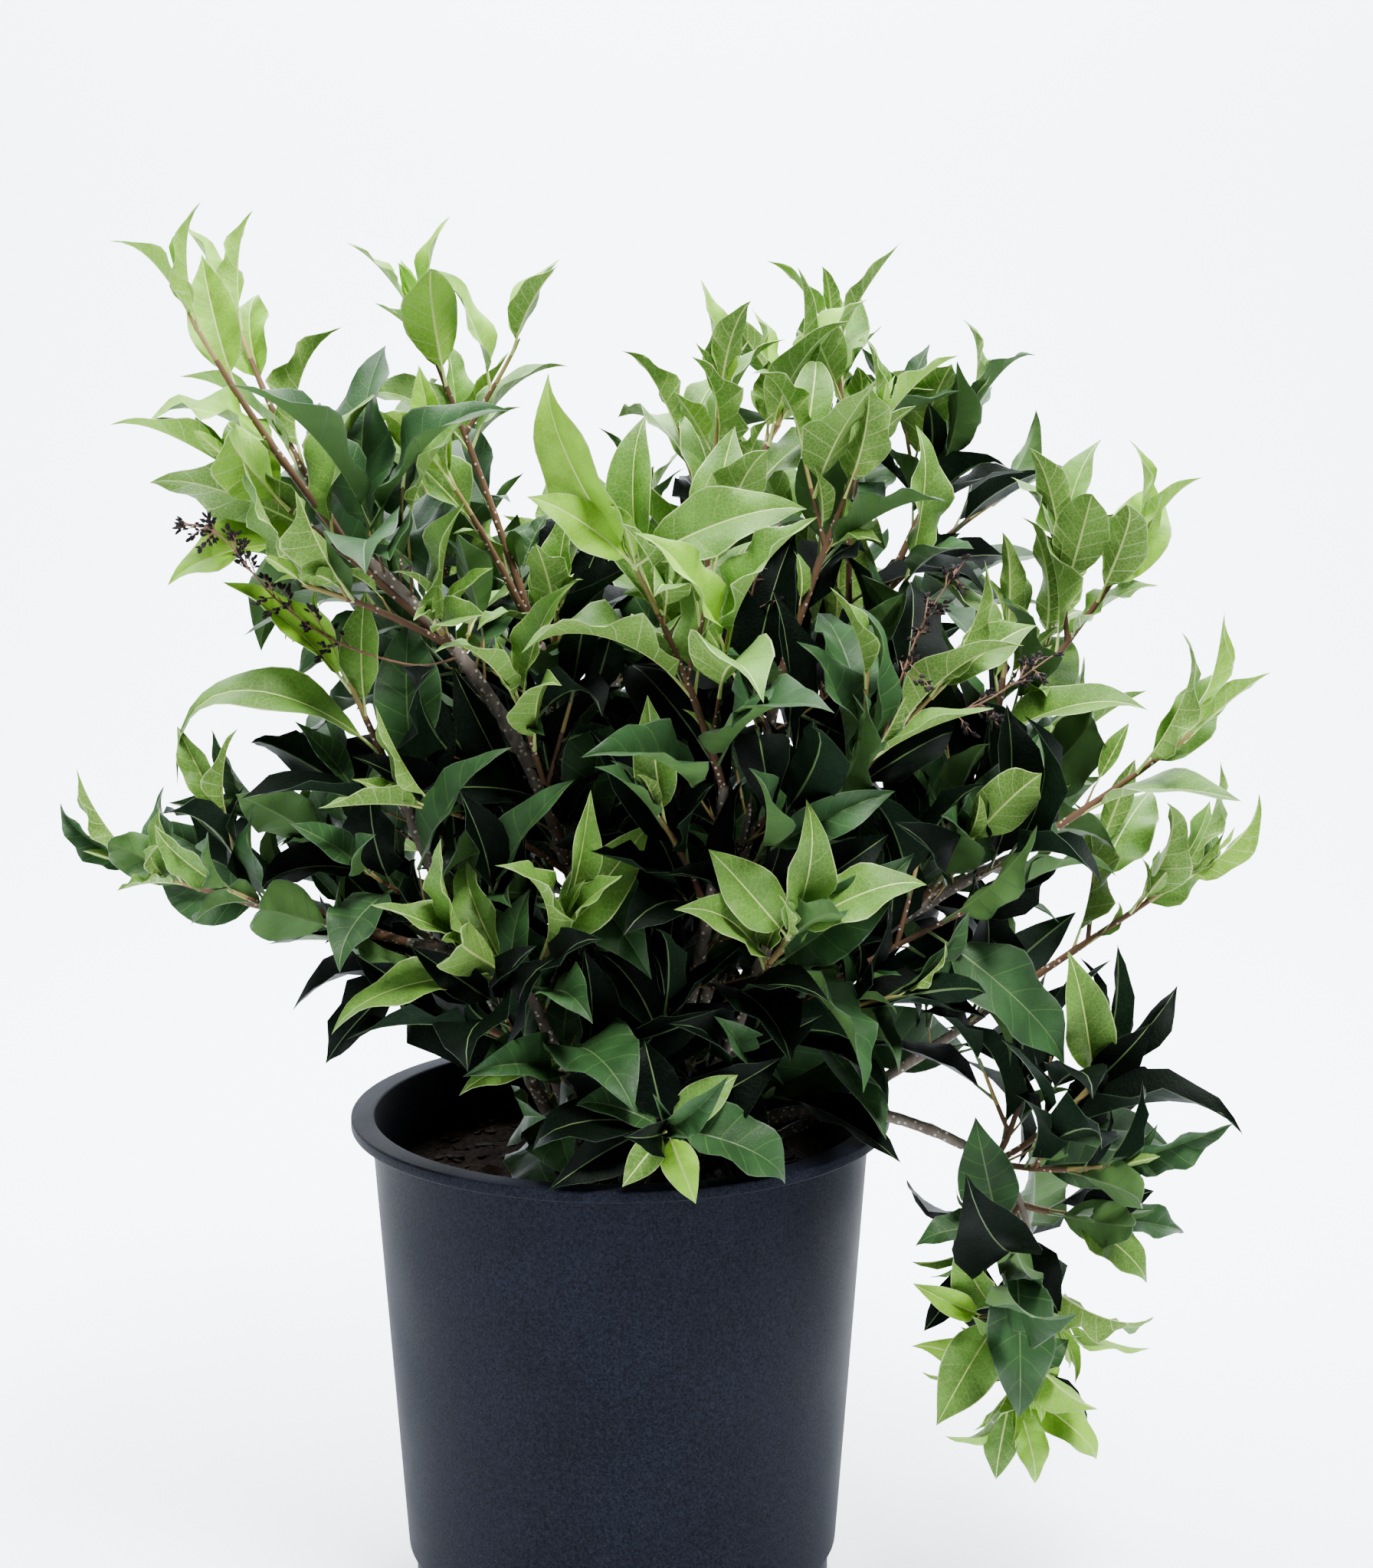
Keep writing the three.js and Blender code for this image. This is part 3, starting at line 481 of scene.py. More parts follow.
def clear_of_pot(points):
    """Whether a shell keeps off the pot's wall and lip and off the soil, between its points too."""
    lip = POT["height"] - POT["lip_height"] - POT_CLEAR
    for point in points:
        for second in points:
            for share in (0, 0.25, 0.5):
                spot = point.lerp(second, share)
                if spot.z > POT["height"] + POT_CLEAR:
                    continue
                radius = math.hypot(spot.x, spot.y)
                outside = (POT["rim"] if spot.z > lip else outer_radius(spot.z)) + POT_CLEAR
                over_soil = (spot.z > SOIL["top"] + POT_CLEAR
                             and radius < outer_radius(spot.z) - POT["wall"] - POT_CLEAR)
                if radius < outside and not over_soil:
                    return False
    return True


# ---- Leaves ----

# The shape of a blade: its stalk's share of the leaf, how its outline rises and is drawn out, how its
# edges droop, its thickness and that of its edge, how far it starts above its chord, how it opens to
# the tip, by how much the waves of its two sides differ, how its tip curls
BLADE = dict(stalk=0.12, rise=0.85, fall=1.3, sweep=0.6, droop=0.14, thick=0.32, edge=0.35, start=0.55,
             opens=0.25, sides=1.7, curl=0.1)
WIDEST = BLADE["rise"] / (BLADE["rise"] + BLADE["fall"])


def outline(share):
    """Half width along a blade, 1 at its widest, drawn out to the tip."""
    if share <= 0 or share >= 1:
        return 0.0
    return (share / WIDEST) ** BLADE["rise"] * ((1 - share) / (1 - WIDEST)) ** BLADE["fall"]


def leaf_point(leaf, u, v, lift=0.0):
    """A point of a blade: u from stalk to tip, v from edge to edge. The midrib is an arc."""
    share = u + BLADE["sweep"] * abs(v) * u * (1 - u)
    gone = mix(BLADE["stalk"], 1, share)
    half, length, bend = leaf["half"] * outline(share), leaf["length"], leaf["bend"]
    start = bend * BLADE["start"]
    slope = start - bend * gone
    forward = length * (math.sin(start) - math.sin(slope)) / bend
    height = length * (math.cos(slope) - math.cos(start)) / bend
    fold = leaf["fold"] * (1 - BLADE["opens"] * share)
    phase = leaf["phase"] + (BLADE["sides"] if v > 0 else 0)
    wave = leaf["wave"] * math.sin(2 * math.pi * leaf["waves"] * share + phase)
    rise = half * (abs(v) * math.sin(fold) + v * v * (wave - BLADE["droop"])) + lift * math.cos(fold)
    side = v * half * math.cos(fold) - lift * math.sin(fold) * (v > 0) + lift * math.sin(fold) * (v < 0)
    twist = leaf["twist"] * share
    rise, sideways = (rise * math.cos(twist) + side * math.sin(twist),
                      side * math.cos(twist) - rise * math.sin(twist))
    rise -= BLADE["curl"] * leaf["curl"] * length * share ** 6
    sideways += leaf["sickle"] * length * share ** 2
    along = leaf["along"] * (forward - rise * math.sin(slope))
    up = leaf["up"] * (height + rise * math.cos(slope))
    return leaf["root"] + along + up + leaf["up"].cross(leaf["along"]) * sideways


def leaf_shell(leaf):
    """A leaf's rough shell for the test of what touches what."""
    rows = (0.0, 0.3, 0.6, 1.0)
    points = [leaf_point(leaf, u, v) for u in rows for v in (-1, 0, 1)]
    heels = [row * 3 + side for row in range(len(rows) - 1) for side in range(2)]
    return Standing.shell(points, [(here, here + 1, here + 4, here + 3) for here in heels])


# Where the side veins of a blade leave its midrib, half their width in millimetres, and how far the
# blade is puffed up on them and between them, on a fine and on a plain leaf
VEINS = (0.06, 0.17, 0.29, 0.42, 0.56, 0.71)
VEIN_WIDTH = 0.24
ON_VEIN, FINE_PUFF, PLAIN_PUFF = -0.7, 0.6, 0.5
PLAIN_ROWS = 7
# Leaves longer than this are fine, and where the strips across half a fine and half a plain blade end
FINE_LENGTH = 34
FINE = (0.36, 0.7, 0.96, 1.0)
PLAIN = (0.5, 1.0)
# The midrib's half width from stalk to tip and the most of the half blade it takes
RIB = dict(widths=(0.6, 0.2), most=0.3)
# A leaf's stalk: radii, where on its bend they are, and the leaf's length that they are for
STALK = dict(radii=(1.15, 0.85, 0.8, 0.5), shares=(0.3, 0.65, 1), length=70)
# Finishes of a foliage piece, in the order of its materials: upper sides, under sides, ribs, edges
# The tones run from light to near-black, as painted light and shade, and partly by the leaves' age
TONES = ["young", "mid", "old", "deep"]
# The pale tones take the pale rib and edge, the others a darker rib and edge, as painted shade
PALE = ["young", "mid"]
# By tone, on upper and under side: how much the net of veins shows and how far light is thrown back
NET = dict(young=(0.2, 0.4), mid=(0.2, 0.4), old=(0.03, 0.08), deep=(0.03, 0.08))
SHINE = dict(young=(0.16, 0.1), mid=(0.16, 0.1), old=(0.16, 0.1), deep=(0.04, 0.04))


def leaf_rows(leaf, fine):
    """Places along a blade, how far each is puffed up, and whether a side vein follows it."""
    if not fine:
        puffs = [PLAIN_PUFF if row % 2 else ON_VEIN for row in range(PLAIN_ROWS + 1)]
        return [(row / PLAIN_ROWS, puff, False) for row, puff in enumerate(puffs)]
    rows, half = [(0.0, 0, False)], VEIN_WIDTH / leaf["length"]
    for vein, after in zip(VEINS, (*VEINS[1:], 0.88)):
        rows += [(vein - half, ON_VEIN, True), (vein + half, ON_VEIN, False)]
        rows.append(((vein + after) / 2, FINE_PUFF, False))
    return rows + [(0.9, 0, False), (1.0, 0, False)]


def add_leaf(piece, leaf, vein_depth):
    """One leaf: a folded blade, puffed up between its side veins, with a pale edge and a stalk."""
    fine = leaf["length"] > FINE_LENGTH and leaf["tone"] != "deep"
    outer = FINE if fine else PLAIN
    rows = leaf_rows(leaf, fine)
    top_finish = TONES.index(leaf["tone"])
    under_finish = top_finish + len(TONES)
    # The darker tones take the darker rib, edge and stalk, as painted shade
    rib_finish = 2 * len(TONES) + (leaf["tone"] not in PALE)
    edge_finish = rib_finish + 2
    vein_finish = {top_finish: under_finish, under_finish: edge_finish}
    points, faces, finishes = [], [], []
    width = 2 * len(outer) + 3

    def layer(below):
        rings = []
        for u, puff, _ in rows:
            if u in (0, 1):
                if not below:
                    points.append(leaf_point(leaf, u, 0))
                    ends[u] = len(points) - 1
                rings.append([ends[u]] * width)
                continue
            half = max(leaf["half"] * outline(u), 0.2)
            stops = [min(RIB["most"], mix(*RIB["widths"], u) / half), *outer]
            ring = []
            for v in [-stop for stop in reversed(stops)] + [0.0] + stops:
                lift = vein_depth * puff * max(0.0, 1 - ((abs(v) - 0.5) / 0.5) ** 2) * min(1, half / 8)
                if below:
                    lift -= BLADE["thick"] * (1 if abs(v) < 1 else BLADE["edge"])
                points.append(leaf_point(leaf, u, v, lift))
                ring.append(len(points) - 1)
            rings.append(ring)
        return rings

    def skin(rings, kinds, flip):
        for (one, other), (_, _, vein) in zip(zip(rings, rings[1:]), rows):
            for column, kind in enumerate(kinds):
                corners = [one[column], one[column + 1], other[column + 1], other[column]]
                shown = vein_finish.get(kind, kind) if vein else kind
                a, b, c, d = corners if column * 2 < len(kinds) else corners[1:] + corners[:1]
                for triangle in ((a, b, c), (a, c, d)):
                    if len(set(triangle)) == 3:
                        faces.append(triangle[::-1] if flip else triangle)
                        finishes.append(shown)

    ends = {}
    top, low = layer(False), layer(True)
    for rings, blade, flip in ((top, top_finish, False), (low, under_finish, True)):
        strips = [rib_finish] + [blade] * (len(outer) - 1) + [edge_finish if fine else blade]
        skin(rings, strips[::-1] + strips, flip)
    skin([[one[0], other[0]] for one, other in zip(top, low)], [edge_finish], True)
    skin([[one[-1], other[-1]] for one, other in zip(top, low)], [edge_finish], False)
    piece.add(points, faces, finishes)

    blade = leaf_point(leaf, 0.06, 0)
    way = (leaf_point(leaf, 0.1, 0) - blade).normalized()
    line = (leaf["root"], blade - way * leaf["length"] * 0.08, blade)
    path = [leaf["root"] - leaf["along"] * 0.8, *(on_bend(line, share) for share in STALK["shares"])]
    girth = min(1.0, max(0.4, leaf["length"] / STALK["length"]))
    radii = [girth * radius for radius in STALK["radii"]]
    piece.add(*tube(carried(path, leaf["up"]), radii, 5), rib_finish)


# ---- Growth ----

def leaf_pair(spot, turn, pair, mass, draw):
    """Two opposite leaves at a point of a twig."""
    places = []
    for opposite in (0, 180):
        length = mass["leaf"] * pair["size"] * ENLARGE * mix(0.86, 1.12, draw())
        lean = max(NARROWEST, pair["spread"] + mass["open"] + mix(-7, 7, draw()))
        roll = turn + opposite + mix(-8, 8, draw())
        places.append(dict(spot=spot, length=length, width=pair["width"], lean=lean, roll=roll,
                           rise=pair["rise"] + mass["rise"]))
    return places


def leaf_at(place, more, wider):
    """The leaf at one place of a pair, rolled round its twig and opened by a few degrees more."""
    root, axis, across, third, radius = place["spot"]
    angle = math.radians(place["roll"] + more)
    out = across * math.cos(angle) + third * math.sin(angle)
    lean = math.radians(place["lean"] + wider)
    along = axis * math.cos(lean) + out * math.sin(lean)
    along.z += place["rise"]
    along.normalize()
    outward = (root - CROWN).normalized()
    up = axis * FACING["tip"] + Vector((0, 0, FACING["sky"])) + outward * FACING["outside"]
    up = (up - along * up.dot(along)).normalized()
    return root + out * radius * 0.8, along, up


# How many random numbers shape one leaf
LEAF_DRAWS = 10


def shaped(place, turn, draw, age):
    """A leaf with its own fold, waves and bend. `age` runs from 0, a young leaf, to 1, an old one."""
    root, along, up = leaf_at(place, *turn)
    up = Quaternion(along, mix(-0.4, 0.4, draw())) @ up
    length = place["length"]
    return dict(
        root=root, along=along, up=up, length=length, age=age,
        half=length * place["width"] * mix(0.22, 0.26, age) * mix(0.92, 1.1, draw()),
        fold=mix(1.0, 0.54, age) * mix(0.6, 1.2, draw()),
        bend=mix(0.35, 1.0, age) * mix(0.6, 1.5, draw()),
        curl=mix(-0.3, 1.6, draw()), wave=mix(0.08, 0.3, draw()), waves=mix(1.6, 3.2, draw()),
        phase=mix(0, 6.28, draw()), sickle=mix(-0.08, 0.08, draw()), twist=mix(-0.5, 0.5, draw()),
    )


class Crown:
    """All twigs and leaves, grown once and shared by the operators."""

    def __init__(self):
        self.standing = Standing()
        self.twigs = []
        self.leaves = {region: [] for region in REGIONS}
        for name, stem in STEMS.items():
            self.stand_tube(name, points_on(stem["line"], 10), stem_radii(stem, 10))
        for count, (route, _) in enumerate(SEED_HEADS):
            self.keep_free(f"seed head {count}", [Vector(point) for point in route[1:]], **FREE["seed head"])
        for name, (start, end) in OPEN_STEMS.items():
            self.keep_free(f"front of {name}", points_on(STEMS[name]["line"], 6, start, end), **FREE["stem"])
        grown = []
        for count, mass in enumerate(MASSES):
            shoots = [self.make_shoot(mass, tip, order) for order, tip in enumerate(mass["tips"])]
            for order, shoot in enumerate(shoots):
                self.stand_tube(f"{mass['name']},{order}", shoot["path"][::3], shoot["radii"][::3])
            grown.append((count, mass, shoots))
            if mass["name"] in OPEN_SHOOTS:
                start, end = OPEN_SHOOTS[mass["name"]]
                for shoot in shoots:
                    route = points_on(shoot["line"], 8, start, end)
                    self.keep_free(f"front of {mass['name']}", route, **FREE["shoot"])
        self.add_big_leaves(seeded("large leaves"))
        for count, mass, shoots in grown:
            self.grow(mass, shoots, seeded("leaves", count), seeded("looks", count))
        for count, mass, shoots in grown:
            self.fill_shoots(mass, shoots, seeded("shoots", count))
        for count, (name, stem) in enumerate(STEMS.items()):
            self.fill_stem(name, stem, seeded("stems", count))

    def stand_tube(self, family, path, radii):
        sides = 5
        points, faces = tube(carried(path, first_across(path[1] - path[0])), radii, sides)
        for ring in range(len(path) - 1):
            near = points[ring * sides:(ring + 2) * sides]
            self.standing.add(family, Standing.shell(near, faces[:sides]))

    def keep_free(self, family, route, rises, deep):
        """Sheets of air in front of a seed head or a stem, which no leaf may cross."""
        near = Vector((0, -deep, 4))
        for rise in rises:
            for start, end in zip(route, route[1:]):
                corners = [start, end, end + near, start + near]
                corners = [corner + Vector((0, -3, rise)) for corner in corners]
                self.standing.add(family, Standing.shell(corners, [(0, 1, 2, 3)]))

    def add_big_leaves(self, draw):
        """The large leaves that have places of their own, each on the twig nearest to its root."""
        for count, (wanted, tip, face, half, bend, curl, tone) in enumerate(BIG_LEAVES):
            wanted, tip, face = Vector(wanted), Vector(tip), Vector(face)
            spots = [(centre, region) for twig, region in self.twigs for centre in twig["path"]]
            root, region = min(spots, key=lambda spot: (spot[0] - wanted).length)
            along = (tip - root).normalized()
            length = (tip - root).length
            leaf = dict(
                root=root, along=along, up=(face - along * face.dot(along)).normalized(), length=length,
                half=length * half, bend=bend, curl=curl, tone=tone,
                fold=mix(0.3, 0.6, draw()), wave=mix(0.1, 0.25, draw()), waves=mix(1.6, 2.6, draw()),
                phase=mix(0, 6.28, draw()), sickle=mix(-0.04, 0.04, draw()), twist=mix(-0.2, 0.2, draw()))
            self.standing.add(f"big leaf {count}", leaf_shell(leaf))
            self.leaves[region].append(leaf)

    def make_shoot(self, mass, tip, order):
        stem = STEMS[mass["on"]]
        line = stem["line"]
        way = way_of(line, mass["at"])
        heel = on_bend(line, mass["at"]) - way * (TWIG["sink"] if mass["at"] == 1 else 0)
        end = Vector(tip)
        reach = (end - heel).length
        bend = heel.lerp(end, SHOOT["bend_at"]) + way * reach * SHOOT["bow"]
        turn = mass["turn"] + SHOOT["turn"] * order
        steps = max(8, int(reach / SHOOT["step"]))
        base = min(stem["radius"] * SHOOT["heel"], SHOOT["most"]) if mass["at"] == 1 else TWIG["heel"]
        nodes, down = [], 0
        for place, pair in enumerate(PAIRS):
            down += pair["down"] * mass["gap"]
            if down > reach - SHOOT["bare_heel"]:
                break
            nodes.append(dict(pair, below=down, turn=turn + 90 * place))
        radii = []
        for step in range(steps + 1):
            gone = reach * step / steps
            radius = mix(base, TWIG["tip"], gone / reach)
            swell = sum(math.exp(-((reach - gone - node["below"] + NODE["above"]) / NODE["reach"]) ** 2)
                        for node in nodes)
            radii.append(radius * (1 + NODE["height"] * swell))
        radii[-1] = SHOOT["end"]
        line = (heel, bend, end)
        shoot = wood(points_on(line, steps), radii, reach, line=line, nodes=nodes, turn=turn)
        self.twigs.append((shoot, region_of(mass["name"])))
        return shoot

    def spot(self, shoot, below, up=0.0):
        """A point of a shoot with its frame and radius, `below` its tip."""
        gone = min(max((shoot["reach"] - below + up) / shoot["reach"], 0), 1) * (len(shoot["path"]) - 1)
        step = min(int(gone), len(shoot["path"]) - 2)
        centre = shoot["path"][step].lerp(shoot["path"][step + 1], gone - step)
        _, along, across, third = shoot["frames"][step]
        return centre, along, across, third, mix(shoot["radii"][step], shoot["radii"][step + 1], gone - step)

    def side_twig(self, place, length, radius, family, check):
        """A short twig from a leaf's corner, or nothing where it has no room."""
        base, (_, along, _) = place["spot"], leaf_at(place, 0, 0)
        raised = (along + Vector((0, 0, SIDE_TWIG["rise"]))).normalized()
        middle = base[0] + along * length * SIDE_TWIG["straight"]
        end = middle + raised * length * (1 - SIDE_TWIG["straight"])
        steps = max(4, int(length / SIDE_TWIG["step"]))
        radii = [mix(radius, radius * SIDE_TWIG["taper"], step / steps) for step in range(steps + 1)]
        radii[-1] = SIDE_TWIG["end"]
        twig = wood(points_on((base[0], middle, end), steps), radii, length)
        points, faces = tube(twig["frames"][1:], radii[1:], 4)
        twig["shell"] = Standing.shell(points, faces[:-2])
        return twig if not check or self.standing.has_room(twig["shell"], [family]) else None

    def add_leaves(self, places, region, families, draw, age, tone):
        for place in places:
            look = [draw() for _ in range(LEAF_DRAWS)]
            for turn in TURNS:
                run = iter(look)
                leaf = shaped(place, turn, lambda: next(run), age)
                shell = leaf_shell(leaf)
                if self.standing.has_room(shell, families):
                    self.standing.add(families[-1], shell)
                    leaf["tone"] = tone(leaf)
                    self.leaves[region].append(leaf)
                    break

    def grow(self, mass, shoots, draw, look):
        region = region_of(mass["name"])
        for order, shoot in enumerate(shoots):
            family = f"{mass['name']},{order}"
            tone = self.tone_of(mass, look)
            sides = []
            for place, node in enumerate(shoot["nodes"][2:2 + mass["sides"]]):
                base = self.spot(shoot, node["below"], mass["gap"] * SIDE_TWIG["above"])
                room = SIDE_TWIG["share"] * (node["below"] + mass["leaf"] * SIDE_TWIG["leaf_share"])
                length = min(SIDE_TWIG["longest"], max(SIDE_TWIG["shortest"], room))
                radius = SIDE_TWIG["radius"]
                start = leaf_pair(base, node["turn"] + 180 * (place % 2), SIDE, mass, draw)[0]
                side = self.side_twig(start, length, radius * SIDE_TWIG["stout"], family, True)
                # Its leaf pairs are worked out even where it has no room, so that later draws stay the same
                drawn = side or self.side_twig(start, length, radius, family, False)
                near, far = (self.spot(drawn, length * SIDE_TWIG[part]) for part in ("ends", "middles"))
                ends = leaf_pair(near, 0, SIDE_END, mass, draw)
                middles = leaf_pair(far, 90, SIDE_MIDDLE, mass, draw)
                if side:
                    side_family = f"{family},side,{place}"
                    self.standing.add(side_family, side["shell"])
                    self.twigs.append((side, region))
                    sides.append((side_family, ends, middles))
            for place, node in enumerate(shoot["nodes"]):
                pair = leaf_pair(self.spot(shoot, node["below"]), node["turn"], node, mass, draw)
                age = min(1, 0.25 + 0.25 * place)
                self.add_leaves(pair, region, [family, f"{family},pair,{place}"], look, age, tone)
            for side_family, ends, middles in sides:
                self.add_leaves(ends, region, [side_family, side_family + ",end"], look, 0.4, tone)
                self.add_leaves(middles, region, [side_family, side_family + ",middle"], look, 0.8, tone)

    def tone_of(self, mass, draw):
        """Tones of one spray: painted light on the outer and upper leaves, painted shade on the inner ones.
        """
        shade = SHADES.get(mass["name"], 0) + mix(-SPRAY_CHANCE, SPRAY_CHANCE, draw())

        def tone(leaf):
            place = leaf["root"] + leaf["along"] * leaf["length"] * 0.5 - CROWN_MIDDLE
            out = math.sqrt(sum((place[side] / CROWN_REACH[side]) ** 2 for side in range(3)))
            high = HIGH_IS_LIGHT * max(0, place.z) / CROWN_REACH[2]
            value = out + high - AGE_IS_DARK * leaf["age"] + shade + mix(-LEAF_CHANCE, LEAF_CHANCE, draw())
            return next((name for name, least in LEAST.items() if value > least), "deep")
        return tone

    def fill_shoots(self, mass, shoots, draw):
        """Young leaves at each tip, and short leafy twigs in the corners of the leaf pairs."""
        region = region_of(mass["name"])
        for order, shoot in enumerate(shoots):
            family = f"{mass['name']},{order}"
            tone = self.tone_of(mass, draw)
            bud = dict(leaf=mass["leaf"], open=0, rise=mass["rise"] * 0.5)
            pair = leaf_pair(self.spot(shoot, 1), shoot["turn"] + 90, TIP_PAIR, bud, draw)
            for place in pair:
                place["lean"] = TIP_PAIR["spread"]
            self.add_leaves(pair, region, [family, f"{family},bud"], draw, 0, tone)
            most = "bare" if not mass["sides"] else "back" if region == "back" else "usual"
            for node in shoot["nodes"][1:]:
                for opposite in (0, 180):
                    chance, size = draw(), between(CORNER_TWIG["size"], draw)
                    if chance > CORNER_TWIG[most]:
                        continue
                    base = self.spot(shoot, node["below"], CORNER_TWIG["above"])
                    start = dict(spot=base, lean=between(CORNER_TWIG["lean"], draw), rise=0.2,
                                 roll=node["turn"] + opposite + between(CORNER_TWIG["roll"], draw))
                    length = between(CORNER_TWIG["length"], draw)
                    self.leafy_twig(start, length, size, mass, family, region, draw, tone)

    def leafy_twig(self, start, length, size, mass, family, region, draw, tone):
        """A short twig with one or two leaf pairs, where it and at least one of its leaves have room."""
        side = self.side_twig(start, length, CORNER_TWIG["radius"], family, True)
        if side is None:
            return
        own = f"{family},{len(self.twigs)}"
        small = dict(leaf=mass["leaf"], open=0, rise=mass["rise"])
        pairs = [(0.5, 90 * (draw() > 0.5), dict(spread=34, rise=0.2, size=size, width=0.9), 0.3)]
        if length > 14:
            pairs.append((length * 0.55, 90, dict(spread=50, rise=0.1, size=size * 1.1, width=1), 0.7))
        before = len(self.leaves[region])
        for below, turn, pair, age in pairs:
            places = leaf_pair(self.spot(side, below), turn, pair, small, draw)
            self.add_leaves(places, region, [family, own, f"{own},leaves"], draw, age, tone)
        if len(self.leaves[region]) > before:
            self.standing.add(own, side["shell"])
            self.twigs.append((side, region))

    def fill_stem(self, name, stem, draw):
        """Leaves and short twigs along the upper part of each stem, inside the crown."""
        hanging = not stem["rooted"]
        path = points_on(stem["line"], 40)
        reach = sum((after - before).length for before, after in zip(path, path[1:]))
        shoot = wood(path, stem_radii(stem, 40), reach)
        mass = dict(leaf=66, open=6, rise=-0.1 if hanging else 0.05)
        region = region_of(name)
        wider = INNER_TWIG["back_every"] if region == "back" else 1
        wider = INNER_TWIG["hanging_every"] if hanging else wider

        # Painted light and shade: leaves above light_from are lighter; lower ones are old or near-black, more
        # often near-black at the back
        def tone(leaf):
            if leaf["root"].z > INNER_TWIG["light_from"]:
                return "mid" if draw() < 0.35 else "old"
            return "deep" if draw() < (0.75 if region == "back" else 0.5) else "old"
        below = INNER_TWIG["hanging_start" if hanging else "start"]
        turn = 40 + 60 * draw()
        far = INNER_TWIG["over_rim"] if name == "bough_over_rim" else reach * (1 if hanging else 0.9)
        while below < far:
            turn += 90 + mix(-12, 12, draw())
            for opposite in (0, 180):
                base = self.spot(shoot, below)
                near_rim = base[0].z < POT["height"] + INNER_TWIG["off_rim"]
                if not hanging and near_rim and math.hypot(base[0].x, base[0].y) > INNER_TWIG["middle"]:
                    continue
                start = dict(spot=base, lean=between(INNER_TWIG["lean"], draw), rise=0.25,
                             roll=turn + opposite + between(INNER_TWIG["roll"], draw))
                length, size = between(INNER_TWIG["length"], draw), between(INNER_TWIG["size"], draw)
                self.leafy_twig(start, length, size, mass, name, region, draw, tone)
            below += between(INNER_TWIG["every"], draw) * wider


@lru_cache(maxsize=None)
def crown():
    """The crown, grown when it is first asked for."""
    return Crown()


# ---- Patterns that several materials share ----

def new_group(name, inputs):
    """A group that gives a colour, a roughness and a height, with its inputs and outputs."""
    group = bpy.data.node_groups.new(name, "ShaderNodeTree")
    for label, value in inputs.items():
        kind = "NodeSocketColor" if isinstance(value, tuple) else "NodeSocketFloat"
        socket = group.interface.new_socket(name=label, in_out="INPUT", socket_type=kind)
        socket.default_value = (*value, 1) if isinstance(value, tuple) else value
    for label, kind in (("Color", "Color"), ("Roughness", "Float"), ("Height", "Float")):
        group.interface.new_socket(name=label, in_out="OUTPUT", socket_type="NodeSocket" + kind)
    return group, group.nodes.new("NodeGroupInput").outputs, group.nodes.new("NodeGroupOutput").inputs


def put(tree, kind, inputs=None, **settings):
    """A node with its settings, and its inputs linked or set."""
    node = tree.nodes.new(kind)
    for label, value in settings.items():
        setattr(node, label, value)
    for label, value in (inputs or {}).items():
        if isinstance(value, bpy.types.NodeSocket):
            tree.links.new(value, node.inputs[label])
        else:
            node.inputs[label].default_value = value
    return node


def spread_of(tree, value, low, high):
    """A mask that rises from 0 at `low` to 1 at `high`."""
    node = put(tree, "ShaderNodeMapRange", {"Value": value, "From Min": low, "From Max": high})
    return node.outputs["Result"]


def blended(tree, mask, one, other):
    node = put(tree, "ShaderNodeMix", {"Factor": mask, 6: one, 7: other}, data_type="RGBA")
    return node.outputs[2]


def product(tree, one, other, operation="MULTIPLY"):
    """Two values multiplied, or joined by another operation."""
    return put(tree, "ShaderNodeMath", {0: one, 1: other}, operation=operation).outputs[0]


def place_of(tree):
    return put(tree, "ShaderNodeTexCoord").outputs["Object"]


def clouds(tree, place, scale, detail):
    return put(tree, "ShaderNodeTexNoise", {"Vector": place, "Scale": scale, "Detail": detail}).outputs["Fac"]


def dots_of(tree, place, scale, reach, soft):
    """A mask of dots round scattered points, with a soft edge."""
    cells = put(tree, "ShaderNodeTexVoronoi", {"Vector": place, "Scale": scale}).outputs["Distance"]
    return spread_of(tree, cells, reach, product(tree, reach, soft, "SUBTRACT"))


@lru_cache(maxsize=None)
def blade_pattern():
    """A leaf's green with lighter patches and a fine net of veins."""
    group, given, out = new_group("Blade", {
        "Blade": (0.1, 0.2, 0.05), "Patch": (0.2, 0.3, 0.1), "Vein": (0.3, 0.4, 0.2), "Net": 0.3,
        "Gloss": 0.4})
    place = place_of(group)
    wide, fine = clouds(group, place, 42, 3), clouds(group, place, 900, 2)
    net = put(group, "ShaderNodeTexVoronoi", {"Vector": place, "Scale": 420}, feature="DISTANCE_TO_EDGE")
    lines = spread_of(group, net.outputs["Distance"], 0.09, 0.0)
    patch = blended(group, spread_of(group, wide, 0.36, 0.64), given["Blade"], given["Patch"])
    grain = product(group, lines, given["Net"])
    group.links.new(blended(group, grain, patch, given["Vein"]), out["Color"])
    group.links.new(product(group, product(group, fine, 0.18), given["Gloss"], "ADD"), out["Roughness"])
    group.links.new(product(group, product(group, lines, -0.6), fine, "ADD"), out["Height"])
    return group


@lru_cache(maxsize=None)
def bark_pattern():
    """Bark with long streaks and pale breathing pores."""
    group, given, out = new_group("Bark", {
        "Bark": (0.1, 0.06, 0.03), "Streak": (0.2, 0.15, 0.1), "Pore": (0.5, 0.45, 0.35), "Pores": 0.25})
    place = place_of(group)
    long = put(group, "ShaderNodeMapping", {"Vector": place, "Scale": (1, 1, 0.35)}).outputs["Vector"]
    streak, wide = clouds(group, long, 320, 4), clouds(group, place, 30, 2)
    pores = dots_of(group, place, 300, given["Pores"], 0.05)
    streaked = spread_of(group, product(group, streak, wide), 0.14, 0.36)
    bark = blended(group, streaked, given["Bark"], given["Streak"])
    group.links.new(blended(group, pores, bark, given["Pore"]), out["Color"])
    group.links.new(spread_of(group, streak, -0.9, 0.9), out["Roughness"])
    group.links.new(product(group, product(group, pores, 1.2), streak, "ADD"), out["Height"])
    return group


